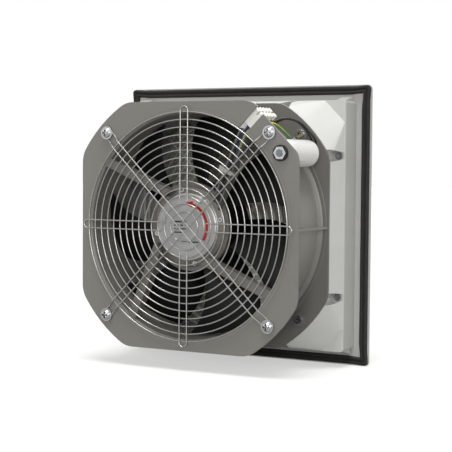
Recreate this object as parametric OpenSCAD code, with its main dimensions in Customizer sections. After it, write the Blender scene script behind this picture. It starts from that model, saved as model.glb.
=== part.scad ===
// Enclosure filter fan: a plug-in frame with gasket, filter mat and louvred cover in
// front, and a square axial fan with an external-rotor motor behind it.
// Every part is drawn lying on its front and seen from the rear: x runs to the viewer's
// right, y runs up and z comes out of the panel. stand_up() then turns the unit upright,
// so that the louvres face -Y. z = 0 is the panel face on which the gasket seals.

/* [Frame] */
// Overhang of the square flange beyond the box
flange_rim = 18.5; // [16:0.5:22]
// Thickness of the flange
flange_t = 3; // [2.5:0.5:4]
// Corner radius of the flange and the cover
flange_corner_r = 5; // [3:0.5:8]
// Overhang of the box beyond the fan; the box passes through the cut-out
box_rim = 4; // [3:0.5:5.5]
// Reach of the box behind the flange
box_depth = 28.5; // [26:0.5:34]
// Wall of the box
box_wall = 3; // [2.5:0.5:4]

/* [Gasket and filter] */
// Thickness of the foam gasket
gasket_t = 4; // [3:0.5:5]
// Width of the gasket band
gasket_band = 9.5; // [8:0.5:10]
// Thickness of the filter mat
mat_t = 14; // [10:0.5:15]
// Thickness of the grille that carries the mat
grille_t = 3; // [2:0.5:4]
// Step from ring to ring of that grille
grille_pitch = 9.3; // [8:0.1:12]

/* [Louvred cover] */
// Depth of the cover in front of the flange
cover_h = 24; // [22:0.5:30]
// Wall of the cover
cover_wall = 3; // [2.5:0.5:3.5]
// Number of slats
slat_count = 12; // [10:1:14]
// Thickness of a slat
slat_t = 2.6; // [2:0.2:3.2]
// Distance by which the cover's side walls lean in
cover_lean = 10; // [8:1:12]
// Distance of the hinge axis from the cover's lower and rear faces
hinge_inset = 9.5; // [9:0.5:10.5]
// Diameter of the hinge pins
hinge_pin_d = 4; // [3:0.5:5]

/* [Fan carrier] */
// Height of the carrier between frame and fan
carrier_h = 33.5; // [28:0.5:40]
// Wall of the carrier
carrier_wall = 3; // [2.5:0.5:3.5]
// Leg of the flat triangle at each corner of the carrier's base
corner_leg = 24; // [20:1:28]
// Distance of the frame screws from the middle of each side
side_screw_at = 80.5; // [76:0.5:84]

/* [Fan housing] */
// Side of the fan's square plates
fan_w = 280; // [278:0.5:284]
// Depth of the fan over both plates
fan_depth = 80; // [76:1:90]
// Thickness of the rear plate
plate_t = 2.5; // [2:0.5:4]
// Wall of the nozzle tube
tube_wall = 2; // [1.5:0.5:2]

/* [Impeller and motor] */
// Number of blades
blade_count = 7; // [5:1:9]
// Gap between blade tip and throat
tip_gap = 2.5; // [1.5:0.25:4]
// Wall of the impeller's hub band
hub_wall = 2.5; // [2:0.5:3]
// Outer diameter of the rotor can
rotor_d = 93; // [90:0.5:94]
// Length of the rotor can
rotor_h = 46; // [42:1:48]
// Diameter of the shaft
shaft_d = 8; // [6:0.5:9]
// Outer diameter of the bearings
bearing_d = 22; // [20:0.5:24]
// Width of the motor struts
strut_w = 10.5; // [9:0.5:13]
// Distance by which the struts pass the fan's axis
strut_offset = 24.8; // [20:0.2:27]

/* [Finger guard] */
// Diameter of the guard wire
wire_d = 1.6; // [1.4:0.1:2.2]
// Number of guard rings
guard_rings_n = 14; // [10:1:14]
// Radius of the innermost ring
guard_inner_r = 17.4; // [16:0.2:20]
// Spacing of the two wires of a spoke
spoke_gap = 9.5; // [9:0.1:10.5]

/* [Electrical parts] */
// Diameter of the capacitor
capacitor_d = 30; // [26:1:30]
// Length of the capacitor
capacitor_h = 62; // [50:1:64]
// Number of poles of the terminal block
pole_count = 5; // [4:1:6]
// Diameter of the sleeve round the motor lead
sleeve_d = 6; // [5:0.5:6]
// Diameter of a single wire
core_d = 2.4; // [2:0.1:2.6]

/* [Hidden] */
$fn = 96;
over = 1;          // overrun of every cut
seat = 0.2;        // gap under a piece that rests on another
fit = 0.05;        // radial clearance of pins, shafts and screws in their holes
free = 0.4;        // gap between pieces that move past each other
quarter = 90;
half_turn = 180;
full_turn = 360;
diagonal = 45;
sides = [0, 1, 2, 3];

// Widths, from the fan outwards
box_w = fan_w + 2 * box_rim;
flange_w = box_w + 2 * flange_rim;
fan_round_share = 1.15;
throat_share = 0.9036;
corner_screw_share = 0.375;
fan_round_d = fan_round_share * fan_w;
throat_d = throat_share * fan_w;
corner_screw_at = corner_screw_share * fan_w;
screw_r = norm([corner_screw_at, corner_screw_at]);
hub_d = rotor_d + 2 * hub_wall;
flange_in = 1.5;             // the stator flange ends this far inside the rotor
stator_flange_d = rotor_d - 2 * flange_in;
guard_over = 2;              // the outer ring stands this far outside the throat
guard_ring_r = throat_d / 2 + guard_over;
guard_pitch = (guard_ring_r - guard_inner_r) / (guard_rings_n - 1);

// Stations along the depth, from the panel face towards the rear
flange_back = -gasket_t;
flange_front = flange_back - flange_t;
rim_z = flange_back + box_depth;
carrier_top = rim_z + carrier_h;
plate_back = carrier_top + fan_depth;
plate_front = plate_back - plate_t;
cover_back = flange_front - free;
cover_front = cover_back - cover_h;
box_in = box_w - 2 * box_wall;

// Frame
box_corner_r = 4;
ledge_w = 4;
ledge_t = 2;
ledge_below = 13.8;           // ledge below the rim
ledge_z = rim_z - ledge_below;
column_r = 4.6;
column_in = 6.8;             // column axis inside the outer face of the box
nose_len = 13;
nose_h = 4.5;
nose_gap = 2.6;              // room for the panel between flange and nose
nose_tip = 2;
nose_inset = 1.5;
screw_core_d = 4;
screw_depth = 10;

// Gasket
gasket_edge = 1.5;
ridge_h = 1.2;
gasket_core_t = gasket_t - ridge_h;
ridge_w = 3;
ridge_edge = 0.8;

// Mat and its grille
mat_gap = 1;
grille_gap = 0.3;
grille_rib = 2.4;
grille_border = 6;
grille_spoke = 3;
grille_back = ledge_z;
grille_front = grille_back - grille_t;
mat_back = grille_front - grille_gap;

// Cover
cover_border = 16;
cover_face_t = 3;
slat_depth_share = 0.62;
slat_rise_share = 0.9;
cover_rib_t = 2.6;
cover_rib_shares = [-0.5, 0, 0.5];
cover_in = flange_w - 2 * cover_wall;
cover_side_in = 2;           // side walls stand this far inside the flange's edge
cover_side = flange_w / 2 - cover_side_in;
slat_open_w = 2 * (cover_side - cover_lean - cover_border);
slat_open_h = flange_w - 2 * cover_border;
slat_frame = 4;              // end ribs of the slats reach this far behind the border
hinge_y = hinge_inset - flange_w / 2;
hinge_z = cover_back - hinge_inset;
ear_w = 6;
ear_r = 5;
ear_web = [1.5, 5, 9];       // where the ear's web starts and ends above the pin
ear_gap = 1.2;
boss_r = 5.6;
boss_w = 5.4;
ear_x = box_w / 2 - box_wall + ear_gap;
bead_h = 3;
bead_w = 16;
bead_at_share = 0.2;
catch_base_t = 3;
catch_w = 12;
catch_arm_t = 2;
catch_nose = 1.4;
catch_drop = 12;

// Carrier
base_t = 3;
carrier_plate_t = 3;
carrier_bore_in = 2.5;
carrier_bore_d = fan_w - 2 * carrier_bore_in;
leg_share = 2 - sqrt(2);      // a cut corner grows shorter by this share of the inset
hull_skin = 0.2;             // thin slab from which a loft starts
loft_in = 0.3;
pocket_r = 7;
pocket_wall = 2;
pan_d = 8.4;
pan_h = 2.8;
carrier_bolt_d = 5;

// Housing
housing_flange_t = 3;
inlet_r = 7;
outlet_r = 3.5;
lip_w = 1.5;                 // flat lip outside the round of the outlet
fan_blend_r = 30;            // radius that blends the corner arc into the sides
blend_steps = 5;
arc_steps = 6;
web_t = 2.6;
web_in = 1;
web_share = 0.75;            // share of the bell-mouth that the webs clear
boss_d = 17;
boss_rise = 2;
slot_w = 11;
slot_across = 25.7;          // distance of the slot from the diagonal
slot_notch = 11;
tab_out = 8;                 // straight end of the tab, outside the corner screw
tab_at = screw_r + tab_out;
tube_r = throat_d / 2 + tube_wall;
tube_from = carrier_top + housing_flange_t + inlet_r;
bolt_d = 5.5;
bolt_head_d = 12;
bolt_head_h = 5.2;
bolt_collar_d = 15;
bolt_collar_h = 1.2;
cross_w = 2;
cross_l = 7.5;
cross_h = 2.4;
nut_d = 9;
nut_h = 4.5;
hex = 6;
housing_screw_d = 5;
housing_head_d = 9.6;
housing_head_h = 3;

// Guard
guard_rise = 3.2;            // middle of the ring wires above the plate
weld_share = 0.92;           // spokes sink this little into the rings
guard_z = plate_back + guard_rise;
spoke_z = guard_z + weld_share * wire_d;
eye_z = plate_back + wire_d / 2 + seat / 2;
short_in = 29;
short_over = 6;
step_start = 2;
step_end = 9;
short_out = guard_ring_r + short_over;
step_from = guard_ring_r + step_start;
step_to = guard_ring_r + step_end;

// Motor
strut_turn = 67;
strut_h = 12;
strut_wall = 1.5;
strut_floor = 1.5;
ring_land = 7;
ring_edge = 5;
ring_in_d = stator_flange_d - 2 * ring_land;
ring_out_d = stator_flange_d + 2 * ring_edge;
ring_t = 6;
ring_below = 16;
ring_z = plate_back - ring_below;
hub_clear = 0.5;
step_in = 7;
label_in = 2;
step_d = stator_flange_d - 2 * step_in;
label_d = step_d - 2 * label_in;
label_t = 0.4;
flange_disc_t = 3;
label_below = 3;
label_back = plate_back - label_below;
stator_screw_n = 4;
stator_screw_in = 3;
stator_screw_at = stator_flange_d / 2 - stator_screw_in;
stator_screw_d = 3.5;
stator_head_d = 5.6;
stator_head_h = 1.6;
stator_screw_turn = 12;
flange_z = ring_z + ring_t;
tube_od = 28;
bearing_h = 7;
rotor_gap = 2.5;
rotor_top = ring_z - rotor_gap;
rotor_bottom = rotor_top - rotor_h;
can_t = 1.6;
can_floor = 2;
hub_h = 42;
cage_t = 6;
air_gap = 0.4;
core_h = 26;
winding_h = 6.5;
winding_t = 9;
cage_over = 2;
cage_h = core_h + 2 * cage_over;
slot_n = 12;
stator_slot_w = 3;
stator_slot_l = 7;
shaft_out = 4;
shaft_top = flange_z + shaft_out;
clip_t = 1;
clip_over = 3;
core_above = 11;
bearing_step = 3;
core_z = rotor_bottom + core_above;
lower_bearing_z = core_z - bearing_step;
upper_bearing_z = flange_z - bearing_h - bearing_step;
bearing_tube_z = lower_bearing_z - over;

// Blades: chord angles and pitch heights at hub and tip, sweep over the span
blade_t = 2.2;
blade_root_in = 1;
blade_rows = 8;
blade_steps = 8;
hub_chord = 37;
tip_chord = 39;
hub_pitch_h = 36;
tip_pitch_h = 25;
blade_sweep = -15;
blade_first = 41.7;
blade_camber = 5;

// Terminal block, in axes turned by 45 degrees: along the diagonal and across it
block_l = 21;
block_w = 14;
block_before = 14.5;         // inner end, inside the corner screw
block_in = screw_r - block_before;
block_across = 26.5;
block_h = 36;
block_top = plate_front - seat;
pole_pitch = block_h / pole_count;
tower_gap = 0.8;
tower_r = (pole_pitch - tower_gap) / 2;
tower_at = block_l - tower_r;
tower_t = 2.4;
wire_hole_d = 3.6;
wire_hole_l = 5;
side_hole_at = 14;
clamp_d = 4;
clamp_at_share = 0.42;
clamp_sink = 1;
clamp_h = 3;
block_hole = [9, 10.2, 3];   // blind hole in the rear face: along, across, diameter

// Capacitor
capacitor_from = [-5.8, -25.3];
capacitor_at = turned(screw_r + capacitor_from[0], capacitor_from[1]);
capacitor_edge = 2;
stud_d = 8;
stud_out = 5;
washer_d = 17.6;
washer_bore = 15.4;
washer_t = 3;
capacitor_nut_d = 15;
capacitor_nut_h = 4;
socket_d = 3.2;
socket_l = 4;
socket_at = [[0.6, 3.6], [4.4, -1.2]];

// Cable tie
tie_at = 78;
tie_w = 4.5;
tie_t = 1.1;
tie_gap = 0.15;
tie_head = [6, 5.5, 4.6];

// Sleeve, grommet and earth connection
sleeve_floor = 1.7;
sleeve_in = 3.6;
sleeve_short = 18;           // end of the sleeve, inside the nozzle tube
sleeve_from = sqrt(pow(ring_out_d / 2, 2) - pow(strut_offset, 2)) + sleeve_in;
sleeve_to = sqrt(pow(throat_d / 2, 2) - pow(strut_offset, 2)) - sleeve_short;
grommet_d = 9;
grommet_l = 3;
lug_t = 0.8;
lug_d = 10;
lug_tail = [9, 4.4];
barrel_d = 4;
barrel_from = 6.5;
barrel_l = 4.5;
barrel_sink = 0.5;

// Wire routes in the terminal block's axes: along the diagonal from the corner screw,
// across it, and depth from the block's rear face
blue_route = [[-41.1, 18, -1.9], [-27.7, 23, -2], [-22.6, 25.3, -2.4], [-16.8, 26.4, -3.5],
    [-11.1, 26.5, -3.6]];
brown_route = [[-41.1, 18, -4.4], [-31.4, 21.9, -4.8], [-23, 25.7, -6], [-20.2, 26.3, -7.2],
    [-17, 26.5, -10.2], [-14.5, 26.5, -10.8], [-11.1, 26.5, -10.8]];
black_route = [[-40.1, 15.7, -4.4], [-32.5, 18.7, -4.7], [-22.7, 22.9, -6.2], [-20.3, 23.5, -7.3],
    [-18.9, 24, -10.3], [-17.7, 25.9, -15.7], [-15.6, 26.5, -17.7], [-11.1, 26.5, -18]];
earth_route = [[-40.1, 15.7, -1.9], [-32.5, 18.5, -1.8], [-26.9, 20.7, -2.1], [-22.8, 22.3, -2.7],
    [-19.9, 22.4, -4], [-18.3, 20.9, -5], [-16.9, 17, -6.9], [-13.9, 15.7, -7.8], [-8.2, 15.3, -8.5],
    [-1.1, 14.7, -9.8], [1.6, 13.6, -11.4], [3.3, 11.7, -13.8], [4, 9.7, -17.3], [3.3, 7.2, -23.1],
    [1.4, 5.4, -30.3], [-3.1, 3.4, -44.8], [-6.8, 2.1, -55.7], [-9.8, 1.1, -61.3], [-14.8, 0, -67.4],
    [-14.6, -0, -68.9], [-13.1, 0, -69.9], [-7.5, 0, -69.9]];
lead_a_route = [[-0.5, 23.2, -32.4], [-0.3, 17.4, -32.5], [0.7, 16, -32.8], [7.2, 13.8, -34.7],
    [10.7, 11.9, -36.4], [13.9, 8, -39], [16.1, 2.8, -42.4], [16.3, -2.1, -46.1], [14.8, -7.7, -51.2],
    [11.8, -12.8, -57.2], [8.9, -16.3, -62.5], [6.3, -19.2, -65.3], [2.2, -21.8, -66.7],
    [-1, -22.8, -67.2], [-2.9, -22.5, -66.9], [-5, -21.7, -64.4], [-5.2, -21.7, -58.9]];
lead_b_route = [[-0.5, 23.2, -25.2], [-0.3, 17.8, -25.2], [0.5, 16.6, -25.7], [8.8, 13.5, -31.7],
    [13.2, 10.1, -34.9], [15.9, 5.8, -37.8], [17.8, -1, -42.6], [17.8, -5.2, -46.2],
    [15.4, -12.4, -53.8], [13.2, -17.6, -60.6], [10.3, -21.6, -65.3], [6.9, -23.6, -67.3],
    [2.5, -26.1, -68.4], [0.9, -26.8, -67.9], [-1.1, -26.5, -65.3], [-1.4, -26.5, -58.9]];
tube_sides = 8;

// Places and helpers
function on_side(k, along, out) = [
    out * cos(k * quarter) - along * sin(k * quarter),
    out * sin(k * quarter) + along * cos(k * quarter)];
function turned(along, across) = [
    (along - across) / sqrt(2),
    (along + across) / sqrt(2)];
function strut_point(t) = [
    t * cos(strut_turn) + strut_offset * sin(strut_turn),
    t * sin(strut_turn) - strut_offset * cos(strut_turn)];

module stand_up() {
    rotate([quarter, 0, half_turn]) children();
}

// Extrudes a section drawn in y and z along x
module run_x(from, length) {
    translate([from, 0, 0]) rotate([quarter, 0, quarter]) linear_extrude(length) children();
}

module rounded_square(w, r) {
    square([w, w - 2 * r], center = true);
    square([w - 2 * r, w], center = true);
    for (x = [-1, 1], y = [-1, 1])
        translate([x * (w / 2 - r), y * (w / 2 - r)]) circle(r);
}

module slab(z, t) {
    translate([0, 0, z]) linear_extrude(t) children();
}

module rod(at, z, d, h) {
    translate([at[0], at[1], z]) cylinder(d = d, h = h);
}

// Square with its corners cut off straight
module cut_square(w, leg) {
    h = w / 2;
    polygon([[h, h - leg], [h - leg, h], [leg - h, h], [-h, h - leg], [-h, leg - h], [leg - h, -h],
        [h - leg, -h], [h, leg - h]]);
}

// Square whose corners follow a large circle, blended into the sides
module fan_outline(inset) {
    in = fan_w / 2 - fan_blend_r;
    at = sqrt(pow(fan_round_d / 2 - fan_blend_r, 2) - in * in);
    turn = atan2(at, in);
    corner = concat(
        [for (i = [0 : blend_steps]) let (a = turn * i / blend_steps)
            [in, at] + (fan_blend_r - inset) * [cos(a), sin(a)]],
        [for (i = [1 : arc_steps - 1]) let (a = turn + (quarter - 2 * turn) * i / arc_steps)
            (fan_round_d / 2 - inset) * [cos(a), sin(a)]],
        [for (i = [0 : blend_steps]) let (a = quarter - turn + turn * i / blend_steps)
            [at, in] + (fan_blend_r - inset) * [cos(a), sin(a)]]);
    polygon([for (k = sides) each [for (p = corner)
        [p[0] * cos(k * quarter) - p[1] * sin(k * quarter),
         p[0] * sin(k * quarter) + p[1] * cos(k * quarter)]]]);
}

// Domed head with a cross recess, underside at z = 0
module domed_head(d, h) {
    ball = (d * d / 4 + h * h) / (2 * h);
    difference() {
        intersection() {
            translate([0, 0, h - ball]) sphere(ball);
            cylinder(d = d, h = h);
        }
        for (a = [0, quarter])
            rotate([0, 0, a]) translate([-cross_l / 2, -cross_w / 2, h - cross_h])
                cube([cross_l, cross_w, cross_h + over]);
    }
}

module pan_head(d, h) {
    difference() {
        cylinder(d = d, h = h);
        for (a = [0, quarter])
            rotate([0, 0, a]) translate([-d / 4, -d / 16, h / 2]) cube([d / 2, d / 8, h]);
    }
}

module hex_nut(d, h, bore) {
    difference() {
        cylinder(d = d, h = h, $fn = hex);
        translate([0, 0, -over]) cylinder(d = bore, h = h + 2 * over);
    }
}

// Tube swept along a route with rings square to it
module wire(route, d, n = tube_sides) {
    last = len(route) - 1;
    dirs = [for (i = [0 : last])
        let (v = route[min(i + 1, last)] - route[max(i - 1, 0)]) v / norm(v)];
    pts = [for (i = [0 : last])
        let (t = dirs[i], flat = norm([t[0], t[1]]),
            side = flat > 0 ? [-t[1], t[0], 0] / flat : [1, 0, 0],
            up = cross(t, side))
        for (k = [0 : n - 1])
            route[i] + d / 2 * (cos(k * full_turn / n) * side + sin(k * full_turn / n) * up)];
    skin = [for (i = [0 : last - 1], k = [0 : n - 1])
        [i * n + k, (i + 1) * n + k, (i + 1) * n + (k + 1) % n, i * n + (k + 1) % n]];
    tris = [for (f = skin) each [[f[0], f[1], f[2]], [f[0], f[2], f[3]]]];
    caps = [[for (k = [0 : n - 1]) k], [for (k = [n - 1 : -1 : 0]) last * n + k]];
    polyhedron(pts, concat(tris, caps));
}

module frame() color("gainsboro") stand_up() {
    difference() {
        union() {
            slab(flange_front, flange_t) rounded_square(flange_w, flange_corner_r);
            slab(flange_front, rim_z - flange_front) rounded_square(box_w, box_corner_r);
        }
        slab(flange_front - over, ledge_z - flange_front + over) square(box_in, center = true);
        slab(ledge_z - over, rim_z) square(box_in - 2 * ledge_w, center = true);
        difference() {
            slab(ledge_z + ledge_t, rim_z) square(box_in, center = true);
            frame_columns(rim_z);
        }
        for (k = sides, s = [-1, 1])
            rod(on_side(k, s * side_screw_at, box_w / 2 - column_in), rim_z - screw_depth - over,
                screw_core_d + 2 * fit, screw_depth + 2 * over);
    }
    for (x = [-1, 1], y = [-1, 1]) snap_nose(x, y);
    for (x = [-1, 1]) hinge_ear(x);
}

module frame_columns(top) {
    for (k = sides, s = [-1, 1])
        rod(on_side(k, s * side_screw_at, box_w / 2 - column_in), ledge_z, 2 * column_r,
            top - ledge_z + over);
}

// Sprung nose on the upper and lower wall that catches behind the panel
module snap_nose(x, y) {
    face = box_w / 2 - box_wall / 2;
    from = x > 0 ? box_w / 2 - nose_inset - nose_len : nose_inset - box_w / 2;
    mirror([0, y < 0 ? 1 : 0, 0]) run_x(from, nose_len)
        polygon([[face, nose_gap], [box_w / 2 + nose_h, nose_gap],
            [box_w / 2 + nose_h, nose_gap + nose_tip], [box_w / 2, rim_z - nose_tip],
            [face, rim_z - nose_tip]]);
}

module hinge_ear(x) {
    from = x > 0 ? ear_x : -ear_x - ear_w;
    difference() {
        union() {
            translate([from, hinge_y, hinge_z]) rotate([0, quarter, 0]) cylinder(r = ear_r, h = ear_w);
            run_x(from, ear_w) polygon([[hinge_y + ear_web[0], hinge_z],
                [hinge_y + ear_web[1], hinge_z],
                [hinge_y + ear_web[2], flange_front + flange_t / 2],
                [hinge_y + ear_web[0], flange_front + flange_t / 2]]);
        }
        translate([from - over, hinge_y, hinge_z]) rotate([0, quarter, 0])
            cylinder(d = hinge_pin_d + 2 * fit, h = ear_w + 2 * over);
    }
}

module gasket() color("dimgray") stand_up() {
    outer = flange_w - 2 * gasket_edge;
    inner = outer - 2 * gasket_band;
    slab(flange_back + seat / 2, gasket_core_t) difference() {
        rounded_square(outer, flange_corner_r);
        square(inner, center = true);
    }
    for (w = [outer - 2 * ridge_edge, inner + 2 * ridge_edge + 2 * ridge_w])
        slab(flange_back + seat, gasket_t - seat) difference() {
            rounded_square(w, flange_corner_r);
            rounded_square(w - 2 * ridge_w, flange_corner_r / 2);
        }
}

module support_grille() color("lightgray") stand_up() {
    w = box_in - 2 * grille_gap;
    inner = w - 2 * grille_border;
    ring_n = ceil(inner / sqrt(2) / grille_pitch);
    slab(grille_front, grille_t - seat / 2) difference() {
        square(w, center = true);
        square(inner, center = true);
    }
    slab(grille_front, grille_t - seat / 2) intersection() {
        square(inner + grille_border, center = true);
        union() {
            for (i = [1 : ring_n]) difference() {
                circle(r = i * grille_pitch + grille_rib / 2);
                circle(r = i * grille_pitch - grille_rib / 2);
            }
            circle(r = grille_pitch / 2);
            for (a = [0 : diagonal : half_turn - diagonal])
                rotate(a) square([2 * inner, grille_spoke], center = true);
        }
    }
}

module filter_mat() color("ivory") stand_up()
    slab(mat_back - mat_t, mat_t) square(box_in - 2 * mat_gap, center = true);

// Half width of the cover's leaning side walls at a depth
function cover_half(z) = cover_side - cover_lean * (cover_back - z) / cover_h;

module cover_prism(inset) {
    low = cover_front - over;
    high = cover_back + over;
    translate([0, flange_w, 0]) rotate([quarter, 0, 0]) linear_extrude(2 * flange_w)
        polygon([[-cover_half(low) + inset, low], [cover_half(low) - inset, low],
            [cover_half(high) - inset, high], [-cover_half(high) + inset, high]]);
}

module louvre_cover() color("gainsboro") stand_up() {
    difference() {
        intersection() {
            slab(cover_front, cover_h) rounded_square(flange_w, flange_corner_r);
            cover_prism(0);
        }
        intersection() {
            slab(cover_front + cover_face_t, cover_h) rounded_square(cover_in, flange_corner_r / 2);
            cover_prism(cover_wall);
        }
        slab(cover_front - over, cover_h) square([slat_open_w, slat_open_h], center = true);
        run_x(-flange_w, 2 * flange_w) translate([hinge_y - 2 * hinge_inset, hinge_z])
            square(2 * hinge_inset);
        hinge_bores();
    }
    difference() {
        union() {
            rolled_edge();
            intersection() {
                cover_prism(0);
                for (x = [-1, 1])
                    translate([x > 0 ? ear_x + ear_w + ear_gap : -flange_w / 2, hinge_y, hinge_z])
                        rotate([0, quarter, 0])
                            cylinder(r = boss_r, h = flange_w / 2 - ear_x - ear_w - ear_gap);
            }
        }
        hinge_bores();
    }
    for (x = [-1, 1])
        run_x(x * bead_at_share * flange_w - bead_w / 2, bead_w)
            polygon([[cover_in / 2 + over / 2, cover_back - catch_drop],
                [cover_in / 2 - bead_h, cover_back - catch_drop - over],
                [cover_in / 2 + over / 2, cover_back - catch_drop - bead_h]]);
}

// Sloping slats on upright ribs; the end ribs stand on the back of the cover's border
module louvre_slats() color("gainsboro") stand_up() {
    slat_pitch = slat_open_h / slat_count;
    slat_back = cover_front + slat_depth_share * cover_h;
    rise = slat_pitch * slat_rise_share;
    rib_z = cover_front + cover_face_t + seat;
    for (i = [0 : slat_count - 1]) {
        y = seat - slat_open_h / 2 + i * slat_pitch;
        run_x(seat - slat_open_w / 2, slat_open_w - 2 * seat)
            polygon([[y, cover_front], [y + slat_t, cover_front], [y + slat_t + rise, slat_back],
                [y + rise, slat_back]]);
    }
    for (s = cover_rib_shares)
        run_x(s * (slat_open_w + cover_rib_t) - cover_rib_t / 2 - (s == 0 ? 0 : s * over), cover_rib_t)
            translate([-slat_open_h / 2 - slat_frame, rib_z])
                square([slat_open_h + 2 * slat_frame, slat_back - rib_z]);
}

// Lower rear edge of the cover, rolled about the hinge axis and notched at the ears
module rolled_edge() {
    difference() {
        intersection() {
            hinge_round(hinge_inset);
            cover_prism(0);
        }
        intersection() {
            hinge_round(hinge_inset - cover_wall);
            cover_prism(cover_wall);
        }
        translate([-flange_w, hinge_y, hinge_z - flange_w / 2])
            cube([2 * flange_w, flange_w / 2, flange_w]);
        translate([-flange_w, hinge_y - flange_w / 2, hinge_z - flange_w])
            cube([2 * flange_w, flange_w, flange_w]);
        for (x = [ear_x, -ear_x - ear_w])
            translate([x - ear_gap, hinge_y - hinge_inset - over, hinge_z - over])
                cube([ear_w + 2 * ear_gap, hinge_inset + 2 * over, hinge_inset + 2 * over]);
    }
}

module hinge_round(r) {
    translate([-flange_w / 2, hinge_y, hinge_z]) rotate([0, quarter, 0]) cylinder(r = r, h = flange_w);
}

module hinge_bores() {
    from = ear_x + ear_w + ear_gap - over;
    for (x = [from, -flange_w / 2 - over])
        translate([x, hinge_y, hinge_z]) rotate([0, quarter, 0])
            cylinder(d = hinge_pin_d + 2 * fit, h = flange_w / 2 + over - from);
}

module hinge_pins() color("silver") stand_up() {
    length = cover_half(hinge_z - hinge_pin_d / 2) - ear_x - seat;
    for (x = [ear_x, -ear_x - length])
        translate([x, hinge_y, hinge_z]) rotate([0, quarter, 0]) cylinder(d = hinge_pin_d, h = length);
}

module cover_catches() color("lightgray") stand_up() {
    top = cover_in / 2 - bead_h - free;
    for (x = [-1, 1])
        run_x(x * bead_at_share * flange_w - catch_w / 2, catch_w)
            polygon([[top - catch_drop, flange_front - seat / 2], [top, flange_front - seat / 2],
                [top, flange_front - catch_base_t], [top - catch_nose, flange_front - catch_base_t],
                [top - catch_nose, cover_back - catch_drop - bead_h], [top, cover_back - catch_drop - bead_h],
                [top - catch_nose, cover_back - catch_drop - 2 * bead_h],
                [top - catch_nose - catch_arm_t, cover_back - catch_drop - 2 * bead_h],
                [top - catch_nose - catch_arm_t, flange_front - catch_base_t],
                [top - catch_drop, flange_front - catch_base_t]]);
}

// Loft from the square base with cut corners to the fan's outline
module carrier_loft(inset, low, high) {
    hull() {
        slab(low, hull_skin) cut_square(box_w - 2 * inset, corner_leg - inset * leg_share);
        slab(high - hull_skin, hull_skin) fan_outline(inset);
    }
}

module fan_carrier() color("whitesmoke") stand_up() difference() {
    union() {
        difference() {
            union() {
                slab(rim_z, base_t) rounded_square(box_w, box_corner_r);
                carrier_loft(loft_in, rim_z + base_t / 2, carrier_top);
            }
            carrier_loft(carrier_wall, rim_z - over, carrier_top - carrier_plate_t);
        }
        intersection() {
            carrier_loft(loft_in, rim_z + base_t / 2, carrier_top);
            carrier_pockets(pocket_r + pocket_wall, rim_z);
        }
    }
    carrier_pockets(pocket_r, rim_z + base_t);
    rod([0, 0], rim_z, carrier_bore_d, carrier_h + over);
    for (k = sides, s = [-1, 1])
        rod(on_side(k, s * side_screw_at, box_w / 2 - column_in), rim_z - over,
            screw_core_d + 2 * fit, base_t + 2 * over);
    for (x = [-1, 1], y = [-1, 1])
        rod([x * corner_screw_at, y * corner_screw_at], rim_z, carrier_bolt_d + 2 * fit, carrier_h + over);
}

module carrier_pockets(r, z) {
    for (k = sides, s = [-1, 1])
        rod(on_side(k, s * side_screw_at, box_w / 2 - column_in), z, 2 * r, carrier_h + over);
}

module carrier_screws() color("darkslategray") stand_up()
    for (k = sides, s = [-1, 1])
        translate(concat(on_side(k, s * side_screw_at, box_w / 2 - column_in), rim_z + base_t)) {
            pan_head(pan_d, pan_h);
            translate([0, 0, -base_t - screw_depth + over])
                cylinder(d = screw_core_d, h = base_t + screw_depth - over);
        }

// Half section of the nozzle: bell-mouth at the carrier, round lip at the outlet
module nozzle_section() {
    r = throat_d / 2;
    difference() {
        translate([r, carrier_top]) square([inlet_r + tube_wall, fan_depth]);
        translate([r + inlet_r, carrier_top - over]) square([inlet_r, inlet_r + over]);
        difference() {
            translate([r - over, carrier_top - over]) square([inlet_r + over, inlet_r + over]);
            translate([r + inlet_r, carrier_top + inlet_r]) circle(inlet_r);
        }
        difference() {
            translate([r + tube_wall, carrier_top + housing_flange_t]) square([2 * inlet_r, fan_depth]);
            translate([r + tube_wall, carrier_top]) square([inlet_r, inlet_r + housing_flange_t]);
            translate([r, plate_front]) square([outlet_r + lip_w, plate_t]);
        }
        translate([r + tube_wall + inlet_r, carrier_top + inlet_r + housing_flange_t]) circle(inlet_r);
        difference() {
            translate([r - over, plate_back - outlet_r]) square([outlet_r + over, outlet_r + over]);
            translate([r + outlet_r, plate_back - outlet_r]) circle(outlet_r);
        }
    }
}

// Square plate round the nozzle, with its holes for the corner screws
module housing_plate(z, t, bore_r, hole_d) {
    slab(z, t) difference() {
        fan_outline(0);
        circle(r = bore_r + fit);
        for (x = [-1, 1], y = [-1, 1])
            translate([x * corner_screw_at, y * corner_screw_at]) circle(d = hole_d);
    }
}

module nozzle() color("darkgray") stand_up() difference() {
    rotate_extrude() intersection() {
        nozzle_section();
        translate([0, tube_from + fit]) square([fan_w, fan_depth]);
    }
    cable_slot();
}

// Bell-mouth that leads the air into the nozzle
module inlet_ring() color("darkgray") stand_up() rotate_extrude() intersection() {
    nozzle_section();
    square([fan_w, tube_from]);
}

// Slot through which the wires reach the terminal block
module cable_slot() {
    rotate([0, 0, diagonal])
        translate([throat_d / 2 - slot_w, slot_across - slot_w / 2, plate_back - slot_notch])
            cube([fan_round_d, slot_w, slot_notch + over]);
}

module rear_plate() color("darkgray") stand_up() difference() {
    housing_plate(plate_front, plate_t, throat_d / 2 + outlet_r + lip_w, bolt_d + 2 * fit);
    cable_slot();
    rotate([0, 0, diagonal]) translate([tab_at, -fan_w / 4, plate_front - over])
        cube([fan_round_d, fan_w / 4 + slot_across, plate_t + 2 * over]);
    rod(capacitor_at, plate_front - over, stud_d + 2 * fit, plate_t + 2 * over);
}

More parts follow.
